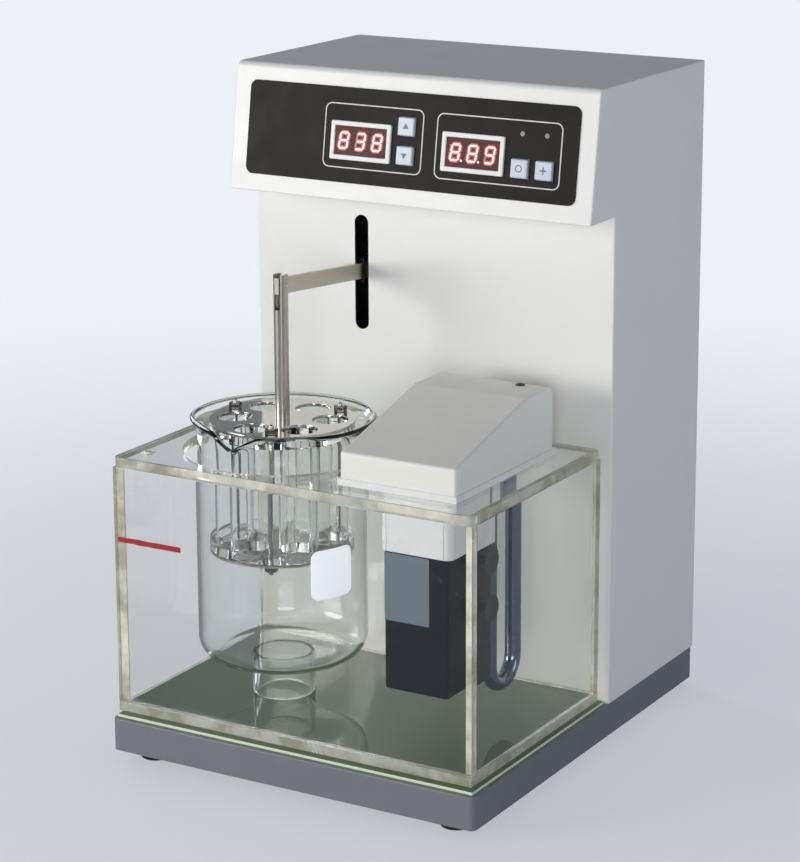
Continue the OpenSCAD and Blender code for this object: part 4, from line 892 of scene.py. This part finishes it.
def makeMesh():
    low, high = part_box("basket_mesh")
    axis = axisOf("basket_mesh")
    ringTop = low.z + basket["ringHeight"]
    bm = bmesh.new()
    bm.from_mesh(cadNodes["basket_mesh"].data)
    upper = [f for f in bm.faces if f.calc_center_median().z > ringTop + seam
             or (f.calc_center_median().z > ringTop - seam and f.normal.z < 0)]
    bmesh.ops.delete(bm, geom=upper, context="FACES")
    tidyMesh(bm)
    finishPiece("clampRing", bm, "basket", ["steel"], ["basket_mesh"])
    bm = bmesh.new()
    pitch, reach = basket["wirePitch"], basket["meshReach"]
    rows = int(reach / pitch)
    centre = Vector((axis.x, axis.y, (ringTop + high.z) / 2))
    sway = (high.z - ringTop) / 2 - basket["wireRadius"] - seam
    for row in range(-rows, rows + 1):
        offset = row * pitch
        half = int(math.sqrt(reach ** 2 - offset ** 2) / pitch) * pitch
        if half < pitch:
            continue
        for direction, phase in (((1, 0, 0), 0), ((0, 1, 0), 1)):
            along = Vector(direction)
            across = Vector((direction[1], direction[0], 0))
            begin = centre + across * offset - along * half
            addWire(bm, begin, begin + along * 2 * half, phase + row + round(half / pitch), sway)
    faceOutwards(bm)
    finishPiece("wovenMesh", bm, "basket", ["wire"], ["basket_mesh"], even=False)


def makeBasket():
    dressNode("basket_disc", "topDisc", "stainless", "polished", basket["discBevel"], sharper=50)
    dressNode("rack_plates", "clearPlates", "clear_acrylic", "rackSheet", basket["plateBevel"],
              sharper=50)
    makeTubes()
    makeMesh()
    makeTieBolts()


# beaker: thin blown glass with a flared rim, a bead and a broad pouring spout; angles are degrees
beaker = {"radius": 0.0525, "wall": 0.0020, "baseRadius": 0.014, "rimFlare": 0.0050, "bead": 0.0013,
          "rimRise": 0.0022, "flareHeight": 0.011, "flarePower": 2.2, "steps": 180,
          "spoutReach": 0.0029, "spoutDrop": 0.0084, "spoutHalf": 17, "spoutDepth": 0.026,
          "pinch": 0.0042, "pinchHalf": 72, "rings": (0.35, 0.6), "upperRing": 0.022}
patch = {"from": -38, "to": -5, "low": 0.1095, "high": 0.1405, "corner": 0.005, "thick": 0.00012,
         "lift": 0.00006, "cuts": 9, "cutPitch": 0.0016}
pedestal = {"wall": 0.003, "lip": 0.0006}


def makeBeaker():
    low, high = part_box("beaker")
    axis = axisOf("basket_disc")
    r, wall, heel, bead = beaker["radius"], beaker["wall"], beaker["baseRadius"], beaker["bead"]
    inner = r - wall
    tall = high.z - low.z + beaker["rimRise"]
    foot, spoutFoot = tall - beaker["flareHeight"], tall - beaker["spoutDepth"]
    lipR, lipZ = r + beaker["rimFlare"] - bead * 0.6, tall - bead

    def flare(start, stop, t):
        return start + (stop - start) * t ** beaker["flarePower"], foot + (lipZ - foot) * t

    curve = [t / 8 for t in range(1, 8)]
    heights = [tall * share for share in beaker["rings"]]
    heights += [spoutFoot, tall - beaker["upperRing"], foot]
    outside = [(0, 0)] + arcPoints(r - heel, heel, heel, -90, 0, 12) + [(r, z) for z in heights]
    outside += [flare(r, lipR, t) for t in curve]
    rim = arcPoints(lipR - bead * 0.3, lipZ, bead, -35, 150, 8)
    inside = [flare(inner, lipR - bead, t) for t in curve[::-1]] + [(inner, z) for z in heights[::-1]]
    inside += arcPoints(r - heel, heel, heel - wall, 0, -90, 12) + [(0, wall)]
    bm = lathe(outside + rim + inside, beaker["steps"])
    for vert in bm.verts:
        share = (vert.co.z - spoutFoot) / beaker["spoutDepth"]
        radius = math.hypot(vert.co.x, vert.co.y)
        if share <= 0 or radius < inner / 2:
            continue
        away = abs(math.degrees(math.atan2(vert.co.x, -vert.co.y)))
        near = max(0, 1 - away / beaker["spoutHalf"]) ** 1.25
        beside = math.sin(math.pi * min(1, away / beaker["pinchHalf"])) ** 2
        flared = max(0, 1 - (tall - vert.co.z) / beaker["flareHeight"]) ** beaker["flarePower"]
        out = beaker["spoutReach"] * near * share ** 2.5 - beaker["pinch"] * beside * flared
        vert.co.x *= 1 + out / radius
        vert.co.y *= 1 + out / radius
        vert.co.z -= beaker["spoutDrop"] * near * share ** 3
    move(bm, at((axis.x, axis.y, low.z)))
    finishPiece("beakerGlass", bm, "beaker", ["glass"], ["beaker"], even=False)
    makePatch(axis, r)
    makePedestal(axis)


def makePatch(axis, radius):
    # a ground patch for writing on: a flat plate bent round the beaker
    middleTurn = math.radians((patch["from"] + patch["to"]) / 2)
    wide = math.radians(patch["to"] - patch["from"]) * radius
    bm = roundPlate(wide, patch["high"] - patch["low"], patch["corner"], patch["thick"], 8)
    bmesh.ops.subdivide_edges(bm, edges=bm.edges, cuts=1)
    bmesh.ops.triangulate(bm, faces=bm.faces)
    for n in range(-patch["cuts"], patch["cuts"] + 1):
        cutThrough(bm, (n * patch["cutPitch"], 0, 0), (1, 0, 0))
    for vert in bm.verts:
        angle = middleTurn + vert.co.x / radius
        out = radius + patch["lift"] - vert.co.y
        vert.co = Vector((axis.x + out * math.cos(angle), axis.y + out * math.sin(angle),
                          vert.co.z + (patch["low"] + patch["high"]) / 2))
    faceOutwards(bm)
    finishPiece("frostedPatch", bm, "beaker", ["frostedPatch"], even=False)


def makePedestal(axis):
    # the short clear ring that the beaker stands on
    low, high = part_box("beaker_pedestal")
    lip, tall = pedestal["lip"], high.z - low.z
    outer = (high.x - low.x) / 2 - lip
    inner = outer + 2 * lip - pedestal["wall"]
    corners = ((outer, tall - lip), (inner, tall - lip), (inner, lip), (outer, lip))
    profile = []
    for turn, (radius, z) in enumerate(corners):
        profile += arcPoints(radius, z, lip, 90 * turn, 90 * turn + 90, 3)
    bm = lathe(profile, 64, True)
    move(bm, at((axis.x, axis.y, low.z)))
    finishPiece("clearPedestal", bm, "case", ["rackSheet"], ["beaker_pedestal"],
                even=False)


# tank: five glued sheets and a loose lid, their sawn edges a milky cream
tank = {"bevel": 0.0004, "mark": (-0.125, -0.079, 0.1388, 0.1420), "markSink": 0.0002,
        "markFront": 0.00025, "markParts": 12, "markUneven": 0.00022}
sheetLooks = ["sheetFace", "sheetEdge"]


def makeSheet(name, bm, node, body, thin):
    # sawn edges are the faces that don't look along the sheet's thin way
    paintFaces(bm, 1, lambda f: abs(f.normal[thin]) < square)
    finishPiece(name, bm, body, sheetLooks, [node])


def makeTank():
    bm = bmesh.new()
    addBox(bm, *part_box("tank_floor"), tank["bevel"])
    makeSheet("tankFloor", bm, "tank_floor", "case", 2)
    for node, name, thin, sharper in (("tank_long_panes", "tanklongPanes", 1, 30),
                                      ("tank_short_panes", "tankshortPanes", 0, 30),
                                      ("tank_lid", "tankLid", 2, 50)):
        bm = cadCopy(node)
        roundEdges(bm, tank["bevel"], sharper=sharper)
        makeSheet(name, bm, node, bodyOf(node), thin)

    # the red level mark, drawn by hand on the front sheet
    x0, x1, z0, z1 = tank["mark"]
    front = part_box("tank_long_panes")[0].y
    bm = bmesh.new()
    addBox(bm, (x0, front - tank["markFront"], z0), (x1, front + tank["markSink"], z1))
    for n in range(1, tank["markParts"]):
        cutThrough(bm, (x0 + (x1 - x0) * n / tank["markParts"], 0, 0), (1, 0, 0))
    for vert in bm.verts:
        vert.co.z += dice.uniform(-tank["markUneven"], tank["markUneven"])
    finishPiece("levelMark", bm, "case", ["redInk"], even=False)


# heater unit
unit = {"coverBevel": 0.0018, "coverEdge": 0.004, "baseBevel": 0.0009, "baseEdge": 0.002,
        "pumpBevel": 0.0016, "pumpEdge": 0.03, "heaterSteps": 24, "heaterSides": 28}
label = {"share": 0.70, "low": 0.113, "high": 0.1545, "corner": 0.0006, "thick": 0.00025,
         "inset": 0.0004}
eye = {"place": (0.08228, -0.0095), "hole": 0.0019, "reach": 0.0029, "rim": 0.0006, "depth": 0.0016}


def makeHeaterTube():
    # a circle drawn down one leg, turned round the bend and drawn up the other leg
    low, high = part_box("heater_tube")
    radius = (high.x - low.x) / 2
    bendRadius = (high.y - low.y) / 2 - radius
    x, y = (low.x + high.x) / 2, low.y + radius
    bend = Vector((x, y + bendRadius, low.z + radius + bendRadius))
    bm = bmesh.new()
    ring = bmesh.ops.create_circle(bm, segments=unit["heaterSides"], radius=radius)["verts"]
    bmesh.ops.translate(bm, vec=(x, y, high.z), verts=ring)
    edges = list({e for v in ring for e in v.link_edges})
    out = bmesh.ops.extrude_edge_only(bm, edges=edges)["geom"]
    verts = vertsOf(out)
    bmesh.ops.translate(bm, vec=(0, 0, bend.z - high.z), verts=verts)
    edges = [e for e in edgesOf(out) if all(v in verts for v in e.verts)]
    out = bmesh.ops.spin(bm, geom=verts + edges, cent=bend, axis=(1, 0, 0), dvec=(0, 0, 0),
                         angle=math.pi, steps=unit["heaterSteps"], use_merge=False)["geom_last"]
    last = bmesh.ops.extrude_edge_only(bm, edges=edgesOf(out))["geom"]
    bmesh.ops.translate(bm, vec=(0, 0, high.z - bend.z), verts=vertsOf(last))
    bmesh.ops.holes_fill(bm, edges=[e for e in bm.edges if len(e.link_faces) == 1], sides=0)
    faceOutwards(bm)
    finishPiece("heaterTube", bm, "unit", ["heater"], ["heater_tube"], even=False)


def makeCover():
    low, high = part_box("unit_cover")
    heart = Vector(((low.x + high.x) / 2, (low.y + high.y) / 2, low.z))
    bm = cadCopy("unit_cover")
    roundEdges(bm, unit["coverBevel"], 3, sharper=8, longer=unit["coverEdge"],
               chosen=lambda e: e.is_convex and middle(e).z > low.z + thread)
    # painted shade: faces that look into the cover take the dark inside colour
    paintFaces(bm, 1, lambda f: f.normal.dot(f.calc_center_median() - heart) < 0)
    finishPiece("unitCover", bm, "unit", ["cover", "ivoryInside"], ["unit_cover"])
    dressNode("unit_base", "unitBase", "white_plastic", "whitePlastic", unit["baseBevel"],
              sharper=40, longer=unit["baseEdge"], chosen=lambda e: e.is_convex)

    # a black eye in the cover's small round hole
    hole, rim, deep = eye["hole"], eye["rim"], eye["depth"]
    profile = [(0, -deep * 0.6), (hole - rim, -deep * 0.6), (hole - rim / 2, rim)]
    profile += arcPoints(eye["reach"] - rim / 2, rim / 2, rim / 2, 90, 0, 4)
    profile += [(eye["reach"], 0), (hole, 0), (hole, -deep), (0, -deep)]
    bm = lathe(profile, 32)
    move(bm, at((*eye["place"], high.z)))
    finishPiece("coverEye", bm, "unit", ["darkPlastic"])


def makePumpBox():
    low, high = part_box("pump_box")
    dressNode("pump_box", "pumpBox", "dark_box", "pumpBox", unit["pumpBevel"], 3, sharper=60,
              longer=unit["pumpEdge"], chosen=lambda e: e.is_convex and middle(e).z < high.z - thread)
    wide = (high.x - low.x) * label["share"]
    bm = roundPlate(wide, label["high"] - label["low"], label["corner"], label["thick"], 2)
    centre = (low.x + wide / 2 + label["inset"], low.y, (label["low"] + label["high"]) / 2)
    move(bm, at(centre))
    finishPiece("pumpLabel", bm, "unit", ["pumpLabel"], even=False)


# small moulded and turned pieces: the CAD shape with its sharp outer edges broken
softened = {
    "mains_inlet": (0.0005, 45, "darkPlastic", "black_plastic"),
    "unit_socket": (0.0003, 45, "zinc", "zinc_steel"),
    "power_switch_body": (0.0005, 45, "darkPlastic", "black_plastic"),
    "power_rocker": (0.0004, 30, "darkPlastic", "black_plastic"),
    "suction_cups": (0.00025, 45, "cupRubber", "rubber"),
    "unit_gland": (0.0003, 45, "darkPlastic", "black_plastic"),
    "hanger_pin": (0.0003, 45, "polished", "stainless"),
    "back_panel": (0.0003, 45, "ivory", "ivory_paint"),
}
rocker = {"bar": (0.0006, 0.0042, 0.0002, 0.00025), "ring": (0.0042, 0.0042, 0.0020, 0.0006),
          "depth": 0.00008, "sink": 0.00002}
screws = {"bevel": 0.0004, "edge": 0.0002}


def softenNodes():
    for node, (width, sharper, look, slot) in softened.items():
        bm = cadCopy(node)
        roundEdges(bm, width, sharper=sharper, longer=width, chosen=lambda e: e.is_convex)
        if node == "power_rocker":
            addRockerMarks(bm)
        finishPiece(node + "_part", bm, bodyOf(node), [look, "outline"], [node])
    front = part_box("case_screws")[1].y - hair
    dressNode("case_screws", "caseScrews", "zinc_steel", "steel", screws["bevel"], sharper=45,
              longer=screws["edge"], chosen=lambda e: e.is_convex and middle(e).y > front)


def addRockerMarks(bm):
    # a bar and a ring, one on each slope of the rocker
    slopes = sorted((f for f in bm.faces if f.normal.y > square), key=lambda f: -f.calc_area())[:2]
    spots = [(f.calc_center_median(), f.normal.copy()) for f in slopes]
    for (spot, normal), kind in zip(sorted(spots, key=lambda pair: -pair[0].z), ("bar", "ring")):
        mark = roundRing(*rocker[kind], rocker["depth"], 6)
        paintFaces(mark, 1)
        turn = (-normal).to_track_quat("Y", "Z").to_matrix().to_4x4()
        absorb(bm, mark, at(spot - normal * rocker["sink"]) @ turn)


# everything else keeps its CAD shape and takes its own finish
finishes = {
    "zinc": ("bottom_cover", "chassis_plate", "crank_disc", "yoke_plate"),
    "steel": ("guide_rods", "crank_pin", "arm_screws", "unit_pin", "heater_glands",
              "temperature_probe"),
    "darkAlloy": ("guide_brackets", "carriage"), "bronze": ("follower_roller", "carriage_bushes"),
    "motorPaint": ("gear_motor", "transformer", "pump_motor"), "board": ("control_board",),
    "darkPlastic": ("display_modules", "key_switches"), "brass": ("board_standoffs",),
    "lampLens": ("indicator_lamps",), "whitePlastic": ("pump_impeller",),
}


def finishCadNodes():
    for look, nodes in finishes.items():
        for node in nodes:
            mesh = cadNodes[node].data
            mesh.materials.clear()
            mesh.materials.append(looks[look])


setCamera()
for name, setting in lights.items():
    addLight(name, **setting)
setRoom()
makeFloor()
setScene()
print("camera, lights and room: done")
makeBase()
makeColumn()
print("base and column: done")
makePanel()
print("control panel: done")
makeLift()
makeBasket()
makeBeaker()
print("lift, basket and beaker: done")
makeTank()
makeCover()
makePumpBox()
makeHeaterTube()
print("tank and heater unit: done")
softenNodes()
finishCadNodes()
print("small pieces and plain finishes: done")
